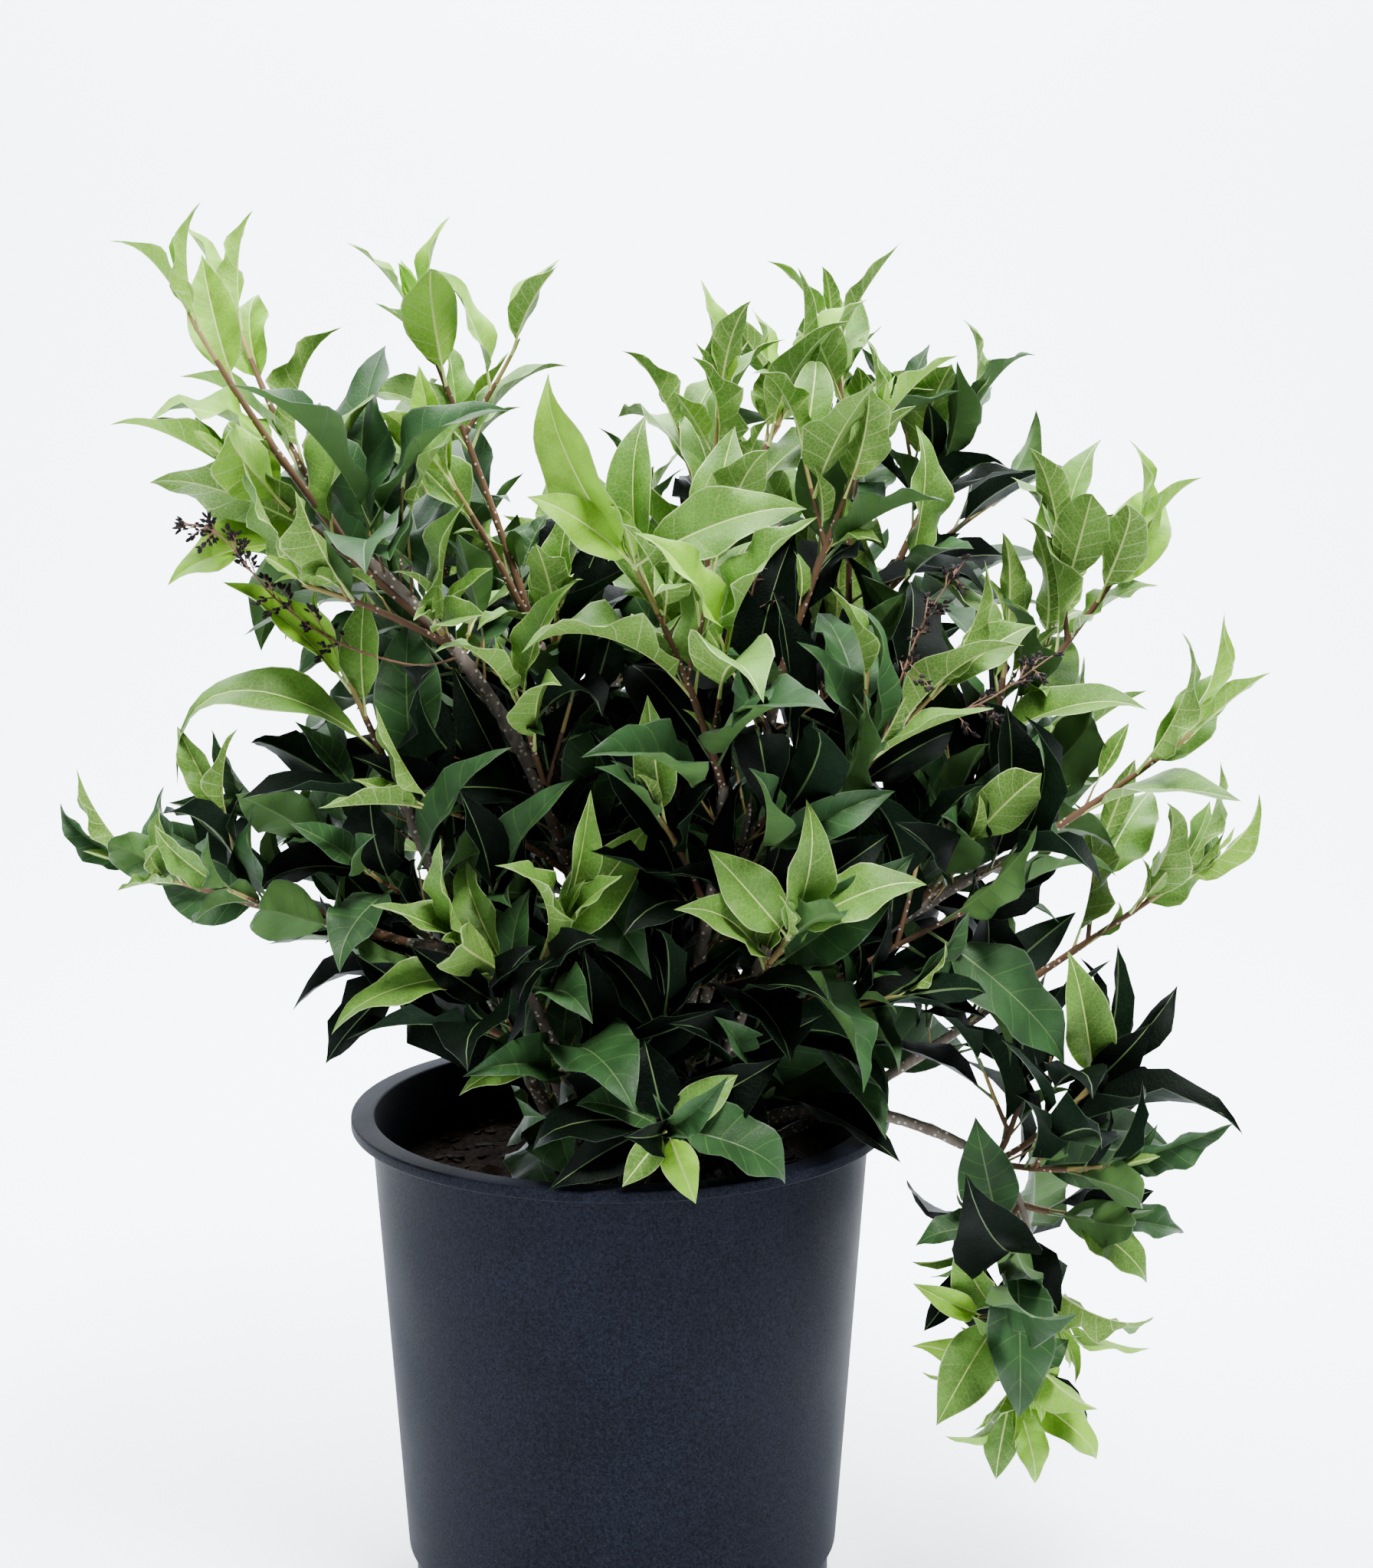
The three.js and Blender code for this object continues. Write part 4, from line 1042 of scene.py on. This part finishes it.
@lru_cache(maxsize=None)
def dust_pattern():
    """A dark ground with specks of dust and paler films."""
    group, given, out = new_group("Dust", {
        "Ground": (0.01, 0.01, 0.01), "Film": (0.05, 0.05, 0.06), "Speck": (0.6, 0.6, 0.6), "Specks": 0.08,
        "Grain": 500.0, "Gloss": 0.4})
    place = place_of(group)
    film, grain = clouds(group, place, 18, 5), clouds(group, place, given["Grain"], 2)
    dots = dots_of(group, place, given["Grain"], given["Specks"], 0.04)
    shown = product(group, dots, spread_of(group, film, 0.3, 0.7))
    mottle = spread_of(group, product(group, product(group, film, 0.35), grain, "ADD"), 0.5, 0.86)
    ground = blended(group, mottle, given["Ground"], given["Film"])
    group.links.new(blended(group, shown, ground, given["Speck"]), out["Color"])
    rough = product(group, product(group, film, 0.25), given["Gloss"], "ADD")
    group.links.new(product(group, rough, product(group, shown, 0.3), "ADD"), out["Roughness"])
    group.links.new(grain, out["Height"])
    return group


def finish(name, group, relief, specular, **values):
    """A material of one Principled shader, coloured by a shared pattern with its own values."""
    material = bpy.data.materials.new(name)
    material.use_nodes = True
    tree = material.node_tree
    shader = tree.nodes["Principled BSDF"]
    shader.inputs["Specular IOR Level"].default_value = specular
    pattern = tree.nodes.new("ShaderNodeGroup")
    pattern.node_tree = group
    for label, value in values.items():
        pattern.inputs[label].default_value = (*value, 1) if hasattr(value, "__len__") else value
    bump = put(tree, "ShaderNodeBump",
               {"Height": pattern.outputs["Height"], "Distance": relief, "Strength": 0.6})
    tree.links.new(pattern.outputs["Color"], shader.inputs["Base Color"])
    tree.links.new(pattern.outputs["Roughness"], shader.inputs["Roughness"])
    tree.links.new(bump.outputs["Normal"], shader.inputs["Normal"])
    return material


def bark_finish(name, bark, streak, pore, pores, relief, specular):
    """Bark of some kind. `streak` is a colour, or how many times lighter than the bark the streaks are."""
    streak = streak if hasattr(streak, "__len__") else times(bark, streak)
    return finish(name, bark_pattern(), relief, specular, Bark=bark, Streak=streak, Pore=pore, Pores=pores)


def times(colour, factor):
    return tuple(part * factor for part in colour)


# ---- Settings ----

def measure(name, value, note):
    return FloatProperty(name=name, default=value, description=note, unit="LENGTH", min=0, precision=4)


def tint(name, value, note):
    return FloatVectorProperty(name=name, default=value, description=note, subtype="COLOR", size=3,
                               min=0, max=1)


class PotSettings(bpy.types.PropertyGroup):
    corner: measure("Corner", 0.0013, "Radius of the pot's moulded corners")
    plastic: tint("Plastic", (0.0011, 0.0017, 0.0038), "Colour of the pot")
    film: tint("Film", (0.0068, 0.0085, 0.015), "Colour of the paler film on the pot")
    dust: tint("Dust", (0.09, 0.095, 0.11), "Colour of the specks of dust")


class SoilSettings(bpy.types.PropertyGroup):
    lumps: measure("Lumps", 0.003, "Height of the lumps of the soil")
    # The earth and bark chips are a dark mix, darkened further to near-black as painted shade inside the pot
    earth: tint("Earth", (0.003, 0.0024, 0.002), "Colour of the potting mix")
    bark: tint("Bark", (0.016, 0.01, 0.006), "Colour of the bark chips")


class StemSettings(bpy.types.PropertyGroup):
    relief: measure("Relief", 0.0004, "Depth of the bark's knobs")
    bark: tint("Bark", (0.085, 0.066, 0.052), "Colour of the old bark")
    streak: tint("Streak", (0.19, 0.16, 0.13), "Colour of the bark's streaks")
    pore: tint("Pore", (0.5, 0.46, 0.38), "Colour of the pores")
    young: tint("Young bark", (0.07, 0.036, 0.017), "Colour of the young wood")
    green: tint("Green tip", (0.17, 0.13, 0.04), "Colour of the shoots' tips")


class LeafSettings(bpy.types.PropertyGroup):
    vein_depth: measure("Vein depth", 0.0005, "How deep the side veins lie")
    # The tones' lightness is painted light and shade by a leaf's place in the crown, and partly its age
    young: tint("Young leaf", (0.1, 0.222, 0.008), "Upper side of a young leaf")
    mid: tint("Leaf", (0.048, 0.115, 0.014), "Upper side of a leaf")
    old: tint("Old leaf", (0.012, 0.036, 0.010), "Upper side of an old leaf")
    # The inner tone is a near-black green, painted shade inside the crown
    deep: tint("Inner leaf", (0.0005, 0.0018, 0.0009), "Upper side of a leaf inside the crown")
    young_under: tint("Young under side", (0.126, 0.27, 0.022), "Under side of a young leaf")
    mid_under: tint("Under side", (0.078, 0.162, 0.026), "Under side of a leaf")
    old_under: tint("Old under side", (0.036, 0.08, 0.02), "Under side of an old leaf")
    # The inner under side is near-black too, as painted shade
    deep_under: tint("Inner under side", (0.003, 0.0085, 0.004), "Under side of a leaf inside the crown")
    rib: tint("Rib", (0.4, 0.5, 0.15), "Midrib and stalk")
    # A darker rib and stalk for the darker tones, as painted shade
    shaded_rib: tint("Inner rib", (0.07, 0.12, 0.04), "Midrib and stalk inside the crown")
    edge: tint("Edge", (0.26, 0.36, 0.12), "Edge of the blade")
    # A darker edge for the darker tones, as painted shade
    shaded_edge: tint("Inner edge", (0.035, 0.07, 0.03), "Edge of the blade inside the crown")


class SeedHeadSettings(bpy.types.PropertyGroup):
    capsule: measure("Capsule", 0.0033, "Length of a seed capsule")
    shell: tint("Shell", (0.006, 0.0045, 0.005), "Colour of the capsules")
    stalk: tint("Stalk", (0.1, 0.05, 0.03), "Colour of the seed heads' stalks")


class StageSettings(bpy.types.PropertyGroup):
    ground: tint("Floor", (0.93, 0.95, 0.99), "Colour of the floor and backdrop")


# ---- Operators ----

class PotOperator(bpy.types.Operator):
    """Turns the pot: stepped foot, tapering wall and rounded lip."""
    bl_idname = "lilac.pot"
    bl_label = "Pot"

    def execute(self, context):
        given = context.scene.lilac_pot
        lip = POT["height"] - POT["lip_height"]
        heel, wall = POT["heel_height"], POT["wall"]
        corners = [
            (0, 0), (POT["foot"], 0), (POT["foot"], heel - wall), (POT["heel"], heel),
            (outer_radius(lip), lip), (POT["rim"], lip), (POT["rim"], POT["height"]),
            (outer_radius(POT["height"]) - wall, POT["height"]), (outer_radius(heel) - wall, heel),
            (POT["foot"] - wall, heel - wall), (POT["foot"] - wall, POT["floor"]), (0, POT["floor"]),
        ]
        profile = rounded_profile(corners, given.corner / MM)
        piece = Piece()
        piece.add(*turned(profile, POT["sides"]), 0)
        plastic = finish("pot_plastic", dust_pattern(), relief=0.0001, specular=0.05, Ground=given.plastic,
                         Film=given.film, Speck=given.dust, Specks=0.11, Grain=820.0, Gloss=0.55)
        piece.make("pot_shell", [plastic], ["pot"], sharp=60)
        return {"FINISHED"}


def rounded_profile(corners, reach):
    """A profile whose corners are rounded, with its two ends on the axis kept."""
    profile = [corners[0]]
    for before, here, after in zip(corners, corners[1:], corners[2:]):
        here, before, after = Vector(here), Vector(before), Vector(after)
        back = min(reach, (before - here).length * 0.4)
        on = min(reach, (after - here).length * 0.4)
        start = here + (before - here).normalized() * back
        end = here + (after - here).normalized() * on
        for share in (0, 0.25, 0.5, 0.75, 1):
            point = start.lerp(here, share).lerp(here.lerp(end, share), share)
            profile.append((point.x, point.y))
    profile.append(corners[-1])
    return profile


def circle(radius, sides):
    for side in range(sides):
        angle = 2 * math.pi * side / sides
        yield radius * math.cos(angle), radius * math.sin(angle)


def turned(profile, sides):
    """Points and faces of a profile turned round the axis, closed at both of its ends."""
    points, rings, faces = [], [], []
    for radius, z in profile:
        if radius < 1e-6:
            points.append(Vector((0, 0, z)))
            rings.append([len(points) - 1] * sides)
            continue
        rings.append(list(range(len(points), len(points) + sides)))
        points += [Vector((x, y, z)) for x, y in circle(radius, sides)]
    for one, other in zip(rings, rings[1:]):
        for side in range(sides):
            beside = (side + 1) % sides
            corners = list(dict.fromkeys((one[side], one[beside], other[beside], other[side])))
            if len(corners) > 2:
                faces.append(tuple(corners))
    return points, faces


class SoilOperator(bpy.types.Operator):
    """Makes the potting mix with lumps and bark chips."""
    bl_idname = "lilac.soil"
    bl_label = "Soil"

    def execute(self, context):
        given = context.scene.lilac_soil
        draw = seeded("chips")
        piece = Piece()
        top, rings, sides = SOIL["top"], SOIL["rings"], SOIL["sides"]
        edge = outer_radius(top - SOIL["fall"]) - POT["wall"] - CLEAR
        lumps = given.lumps / MM

        def height(x, y):
            lump = noise.fractal(Vector((x, y, 3)) * 0.09, 0.7, 2.2, 4)
            return top - SOIL["sink"] - SOIL["fall"] * (math.hypot(x, y) / edge) ** 2 + lumps * lump
        points = [Vector((0, 0, height(0, 0)))]
        for ring in range(1, rings + 1):
            points += [Vector((x, y, height(x, y))) for x, y in circle(edge * ring / rings, sides)]
        start = len(points)
        low = POT["height"] * SOIL["low"]
        foot = outer_radius(low) - POT["wall"] - CLEAR
        points += [Vector((x, y, low)) for x, y in circle(foot, sides)]
        faces = [(0, 1 + side, 1 + (side + 1) % sides) for side in range(sides)]
        for ring in range(rings):
            for side in range(sides):
                here, beside = 1 + ring * sides + side, 1 + ring * sides + (side + 1) % sides
                faces.append((here, here + sides, beside + sides, beside))
        faces.append(tuple(start + side for side in range(sides - 1, -1, -1)))
        piece.add(points, faces, 0)
        for _ in range(SOIL["chips"]):
            angle, radius = draw() * 2 * math.pi, edge * 0.96 * math.sqrt(draw())
            x, y = radius * math.cos(angle), radius * math.sin(angle)
            chip, slab = bark_chip(Vector((x, y, height(x, y) + 0.4)), mix(2.5, 8, draw() ** 2), draw)
            if max(math.hypot(point.x, point.y) for point in chip) < edge - 0.5:
                piece.add(chip, slab, 1 if draw() < 0.7 else 0)
        # The near-black earth and chips are partly the mix's own dark colour and partly painted shade inside
        # the pot
        earth = finish("potting_mix", dust_pattern(), relief=0.0012, specular=0.04, Ground=given.earth,
                       Film=given.bark, Speck=given.bark, Specks=0.3, Grain=420.0, Gloss=0.8)
        chips = bark_finish("bark_chips", given.earth, given.bark, given.bark, pores=0.1, relief=0.0006,
                            specular=0.06)
        piece.make("potting_soil", [earth, chips], ["soil"])
        return {"FINISHED"}


def bark_chip(centre, reach, draw):
    """A flake of bark, tilted and uneven."""
    way = Vector((draw() - 0.5, draw() - 0.5, 0.25 * (draw() - 0.5))).normalized()
    side = way.cross(Vector((0.3 * (draw() - 0.5), 0.3 * (draw() - 0.5), 1))).normalized()
    up = side.cross(way)
    wide, thick = reach * mix(0.35, 0.6, draw()), reach * mix(0.12, 0.22, draw())
    points = []
    for level in (-thick, thick):
        for along, across in ((-1, -0.7), (0.2, -1), (1, -0.3), (0.8, 0.6), (-0.3, 1), (-1, 0.5)):
            points.append(centre + way * along * reach * mix(0.4, 0.6, draw())
                          + side * across * wide * mix(0.7, 1, draw()) + up * level * mix(0.6, 1, draw()))
    faces = [tuple(range(5, -1, -1)), tuple(range(6, 12))]
    faces += [(side, (side + 1) % 6, (side + 1) % 6 + 6, side + 6) for side in range(6)]
    return points, faces


# Knots of old leaf pairs along a stem, and the flare at its root, in millimetres and shares of the radius
KNOTS = dict(first=(18, 34), every=(26, 44), off_tip=8, height=0.14, reach=2.8)
FLARE = dict(height=0.36, reach=8, sunk=7)
# How far apart a stem's rings are, and its rounded end: how far out, with which share of the radius
RING_GAP = 2.6
STEM_END = ((0.9, 0.86), (1.5, 0.5))


class StemOperator(bpy.types.Operator):
    """Makes the bark of all stems and boughs, with knobs, old leaf scars and a root flare."""
    bl_idname = "lilac.stems"
    bl_label = "Stems"

    def execute(self, context):
        given = context.scene.lilac_stems
        relief = given.relief / MM
        piece = Piece()
        for count, stem in enumerate(STEMS.values()):
            draw = seeded("knots", count)
            line = stem["line"]
            rough = points_on(line, 20)
            length = sum((after - before).length for before, after in zip(rough, rough[1:]))
            steps = int(length / RING_GAP)
            path = points_on(line, steps)
            rooted = stem["rooted"]
            if rooted:
                path.insert(0, path[0] - Vector((0, 0, FLARE["sunk"])))
            knots, at = [], between(KNOTS["first"], draw)
            while at < length - KNOTS["off_tip"]:
                knots.append(at)
                at += between(KNOTS["every"], draw)
            radii = []
            for place in range(len(path)):
                gone = length * max(0, place - rooted) / steps
                radius = stem["radius"] * mix(1, STEM_TIP, gone / length)
                radius *= 1 + sum(KNOTS["height"] * math.exp(-((gone - knot) / KNOTS["reach"]) ** 2)
                                  for knot in knots)
                flare = FLARE["height"] * math.exp(-gone / FLARE["reach"]) if rooted else 0
                radii.append(radius * (1 + flare))

            def dent(point):
                return 1 + relief * 0.24 * noise.fractal(point * 0.22, 0.8, 2.1, 3)
            frames = carried(path, Vector((1, 0, 0)), rooted)
            last = frames[-1]
            for gone, share in STEM_END:
                frames.append((last[0] + last[1] * gone, *last[1:]))
                radii.append(radii[len(path) - 1] * share)
            piece.add(*tube(frames, radii, 14, dent), 0)
        bark = bark_finish("old_bark", given.bark, given.streak, given.pore, pores=0.28, relief=0.0005,
                           specular=0.35)
        piece.make("stem_bark", [bark], list(STEMS), sharp=60)
        return {"FINISHED"}


# How much of a twig's end is green, and up to which length a whole twig is, in millimetres
GREEN = dict(end=24, shorter=30)


class TwigOperator(bpy.types.Operator):
    """Makes all twigs, from the shoots on the stems to the finest ones."""
    bl_idname = "lilac.twigs"
    bl_label = "Twigs"

    def execute(self, context):
        given = context.scene.lilac_stems
        piece = Piece()
        for twig, _ in crown().twigs:
            reach, rings = twig["reach"], len(twig["frames"])
            sides = 8 if reach > 40 else 6
            kinds = []
            for ring in range(rings - 1):
                left = reach * (1 - (ring + 0.5) / (rings - 1))
                kinds += [1 if left < GREEN["end"] or reach < GREEN["shorter"] else 0] * sides
            piece.add(*tube(twig["frames"], twig["radii"], sides), kinds + [kinds[0], kinds[-1]])
        brown = bark_finish("young_bark", given.young, 1.4, given.pore, pores=0.23, relief=0.0003,
                            specular=0.3)
        green = bark_finish("green_tips", given.green, 1.3, given.pore, pores=0.06, relief=0.0002,
                            specular=0.4)
        piece.make("leafy_twigs", [brown, green], [], sharp=60)
        return {"FINISHED"}


class FoliageOperator(bpy.types.Operator):
    """Makes the leaves of each part of the crown."""
    bl_idname = "lilac.foliage"
    bl_label = "Foliage"

    def execute(self, context):
        given = context.scene.lilac_leaves
        materials = []
        for under, (side, patch, gloss) in enumerate((("", 1.7, 0.42), ("_under", 1.35, 0.52))):
            for name in TONES:
                green = tuple(getattr(given, name + side))
                # The darker tones take the shaded rib for their veins too, as painted shade
                rib = given.rib if name in PALE else given.shaded_rib
                vein = tuple(mix(part, other, 0.7) for part, other in zip(green, rib))
                materials.append(finish(f"leaf_{name}{side}", blade_pattern(), relief=0.00016,
                                        specular=SHINE[name][under], Blade=green, Patch=times(green, patch),
                                        Vein=vein, Net=NET[name][under], Gloss=gloss))
        for name in ("rib", "shaded_rib", "edge", "shaded_edge"):
            pale = tuple(getattr(given, name))
            materials.append(finish(f"leaf_{name}", blade_pattern(), relief=0.00008, specular=0.3,
                                    Blade=pale, Patch=times(pale, 0.8), Vein=pale, Net=0.2, Gloss=0.4))
        for region in REGIONS:
            piece = Piece()
            for leaf in crown().leaves[region]:
                add_leaf(piece, leaf, given.vein_depth / MM)
            stands_for = ["leaves_" + mass["name"] for mass in MASSES if region_of(mass["name"]) == region]
            piece.make(f"foliage_{region}", materials, stands_for, sharp=50)
        return {"FINISHED"}


# The radii along a seed head's side stalk, and those of a capsule's valve by its share of the length
SEED_STALK = (0.38, 0.34, 0.3, 0.28, 0.26)
VALVE = {0: 0.25, 0.2: 0.6, 0.5: 0.7, 0.8: 0.45, 1: 0.12}


class SeedHeadOperator(bpy.types.Operator):
    """Makes last season's seed heads: thin stalks with dark open capsules."""
    bl_idname = "lilac.seed_heads"
    bl_label = "Seed heads"

    def execute(self, context):
        given = context.scene.lilac_seed_heads
        piece = Piece()
        for count, (route, branches) in enumerate(SEED_HEADS):
            draw = seeded("seed heads", count)
            path = smooth_path([Vector(point) for point in route], 6)
            radii = [mix(0.75, 0.3, place / (len(path) - 1)) for place in range(len(path))]
            piece.add(*tube(carried(path, Vector((0, 1, 0))), radii, 6), 1)
            for branch in range(branches):
                share = mix(0.38, 0.97, branch / max(1, branches - 1))
                self.side_stalk(piece, path, share, mix(26, 8, share), given.capsule / MM, draw)
            self.capsules(piece, path[-1], (path[-1] - path[-2]).normalized(), given.capsule / MM, draw, 5)
        shell = bark_finish("seed_shell", given.shell, 2.2, given.stalk, pores=0.05, relief=0.0003,
                            specular=0.12)
        stalk = bark_finish("seed_stalk", given.stalk, 1.6, given.stalk, pores=0.05, relief=0.0002,
                            specular=0.35)
        piece.make("seed_heads", [shell, stalk], [], sharp=60)
        return {"FINISHED"}

    def side_stalk(self, piece, path, share, length, capsule, draw):
        place = int(share * (len(path) - 2))
        root, way = path[place], (path[place + 1] - path[place]).normalized()
        for opposite in (1, -1):
            side = first_across(way) * opposite * mix(0.5, 1, draw())
            side += Vector((0, 0, mix(-0.9, 0.7, draw())))
            out = (way * mix(0.3, 0.8, draw()) + side).normalized()
            end = root + out * length * mix(0.6, 1.1, draw())
            bend = root.lerp(end, 0.5) + Vector((0, 0, 1.5))
            run = points_on((root, bend, end), 4)
            piece.add(*tube(carried(run, first_across(out)), SEED_STALK, 5), 1)
            self.capsules(piece, end, out, capsule, draw, 4)
            for joint in (run[2], run[3]):
                self.capsules(piece, joint, (side + out).normalized(), capsule, draw, 2)

    def capsules(self, piece, root, way, length, draw, count):
        """A few capsules side by side, each split into two valves."""
        for _ in range(count):
            lean = Vector((draw() - 0.5, draw() - 0.5, draw() - 0.5)) * 1.2
            axis = (way + lean).normalized()
            across = first_across(axis)
            size = length * mix(0.75, 1.15, draw())
            heel = root + axis * mix(1, 3.2, draw())
            piece.add(*tube(carried([root, heel], across), (0.22, 0.26), 4), 1)
            for sign in (1, -1):
                valve = (axis + across * sign * 0.2).normalized()
                run = [heel + valve * size * share for share in VALVE]
                piece.add(*tube(carried(run, across), VALVE.values(), 6), 0)


def smooth_path(points, steps):
    """A smooth path through a few points."""
    path = []
    for place in range(len(points) - 1):
        before, start = points[max(place - 1, 0)], points[place]
        end, after = points[place + 1], points[min(place + 2, len(points) - 1)]
        for step in range(steps):
            t = step / steps
            turn = 2 * before - 5 * start + 4 * end - after
            path.append(0.5 * (2 * start + (end - before) * t + turn * t ** 2
                               + (3 * start - before - 3 * end + after) * t ** 3))
    path.append(points[-1])
    return path


# The backdrop's profile in metres: how far it comes to the front, where it bends up, and its top
SWEEP = dict(front=4, flat=1.4, bend=0.9, top=5, wide=5)
# Lights: place, width, power, colour and what they look at; the air's colour and strength; the camera
LIGHTS = {
    "key": ((0.55, -1.15, 2.7), 0.6, 185, (1, 0.99, 0.96), (0.02, 0, 0.4)),
    "left_fill": ((-1.6, -1.2, 1.1), 1.2, 14, (0.9, 0.95, 1), (0.02, 0, 0.4)),
    "backdrop_light": ((0, 0.9, 2.2), 2.6, 440, (0.93, 0.96, 1), (0, 1.9, 0)),
}
AIR_LIGHT = ((0.94, 0.97, 1, 1), 0.17)
CAMERA = dict(place=(0.034, -1.332, 0.657), down=9.7, lens=61.14, sensor=36)


class StageOperator(bpy.types.Operator):
    """Sets up the floor, backdrop, lights and camera."""
    bl_idname = "lilac.stage"
    bl_label = "Stage"

    def execute(self, context):
        given = context.scene.lilac_stage
        material = bpy.data.materials.new("studio_paper")
        material.use_nodes = True
        shader = material.node_tree.nodes["Principled BSDF"]
        shader.inputs["Base Color"].default_value = (*given.ground, 1)
        shader.inputs["Roughness"].default_value = 0.9
        shader.inputs["Specular IOR Level"].default_value = 0.1
        mesh = bpy.data.meshes.new("studio_sweep")
        flat, bend, wide = SWEEP["flat"], SWEEP["bend"], SWEEP["wide"]
        profile = [(-SWEEP["front"], 0), (flat, 0)]
        for step in range(1, 11):
            angle = step * math.pi / 20
            profile.append((flat + math.sin(angle) * bend, bend - math.cos(angle) * bend))
        profile.append((flat + bend, SWEEP["top"]))
        points = [(x, y, z) for y, z in profile for x in (-wide, wide)]
        faces = [(2 * row, 2 * row + 1, 2 * row + 3, 2 * row + 2) for row in range(len(profile) - 1)]
        mesh.from_pydata(points, [], faces)
        mesh.polygons.foreach_set("use_smooth", [True] * len(faces))
        mesh.materials.append(material)
        sweep = bpy.data.objects.new("studio_sweep", mesh)
        context.scene.collection.objects.link(sweep)
        sweep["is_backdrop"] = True

        world = bpy.data.worlds.new("studio_air")
        world.use_nodes = True
        air = world.node_tree.nodes["Background"]
        air.inputs["Color"].default_value, air.inputs["Strength"].default_value = AIR_LIGHT
        context.scene.world = world
        for name, (place, width, power, colour, target) in LIGHTS.items():
            lamp = bpy.data.lights.new(name, "AREA")
            lamp.size, lamp.energy, lamp.color = width, power, colour
            holder = bpy.data.objects.new(name, lamp)
            holder.location = place
            holder.visible_camera = False
            aim = Vector(target) - holder.location
            holder.rotation_euler = aim.to_track_quat("-Z", "Y").to_euler()
            context.scene.collection.objects.link(holder)

        camera = bpy.data.cameras.new("camera")
        camera.lens, camera.sensor_width, camera.clip_start = CAMERA["lens"], CAMERA["sensor"], 0.05
        holder = bpy.data.objects.new("camera", camera)
        holder.location = CAMERA["place"]
        holder.rotation_euler = (math.radians(90 - CAMERA["down"]), 0, 0)
        context.scene.collection.objects.link(holder)
        context.scene.camera = holder
        return {"FINISHED"}


class LilacPanel(bpy.types.Panel):
    """Lists the settings and the pieces of the lilac."""
    bl_idname = "VIEW3D_PT_lilac"
    bl_label = "Potted lilac"
    bl_space_type = "VIEW_3D"
    bl_region_type = "UI"
    bl_category = "Lilac"

    def draw(self, context):
        for name, settings in SETTINGS.items():
            box = self.layout.box()
            for field in settings.__annotations__:
                box.prop(getattr(context.scene, name), field)
        for operator in OPERATORS:
            self.layout.operator(operator.bl_idname)


SETTINGS = {
    "lilac_pot": PotSettings, "lilac_soil": SoilSettings, "lilac_stems": StemSettings,
    "lilac_leaves": LeafSettings, "lilac_seed_heads": SeedHeadSettings, "lilac_stage": StageSettings,
}
OPERATORS = [
    StageOperator, PotOperator, SoilOperator, StemOperator, TwigOperator, FoliageOperator, SeedHeadOperator,
]


def register():
    for kind in (*SETTINGS.values(), *OPERATORS, LilacPanel):
        bpy.utils.register_class(kind)
    for name, settings in SETTINGS.items():
        setattr(bpy.types.Scene, name, PointerProperty(type=settings))


def unregister():
    for name in SETTINGS:
        delattr(bpy.types.Scene, name)
    for kind in (LilacPanel, *reversed(OPERATORS), *SETTINGS.values()):
        bpy.utils.unregister_class(kind)


def main():
    register()
    for build in (bpy.ops.lilac.stage, bpy.ops.lilac.pot, bpy.ops.lilac.soil, bpy.ops.lilac.stems,
                  bpy.ops.lilac.twigs, bpy.ops.lilac.foliage, bpy.ops.lilac.seed_heads):
        build()
    boxes = {"cad": CAD_BOX, "visual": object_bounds()}
    {name: [list(map(float, corner)) for corner in box] for name, box in boxes.items()}


if __name__ == "__main__":
    main()
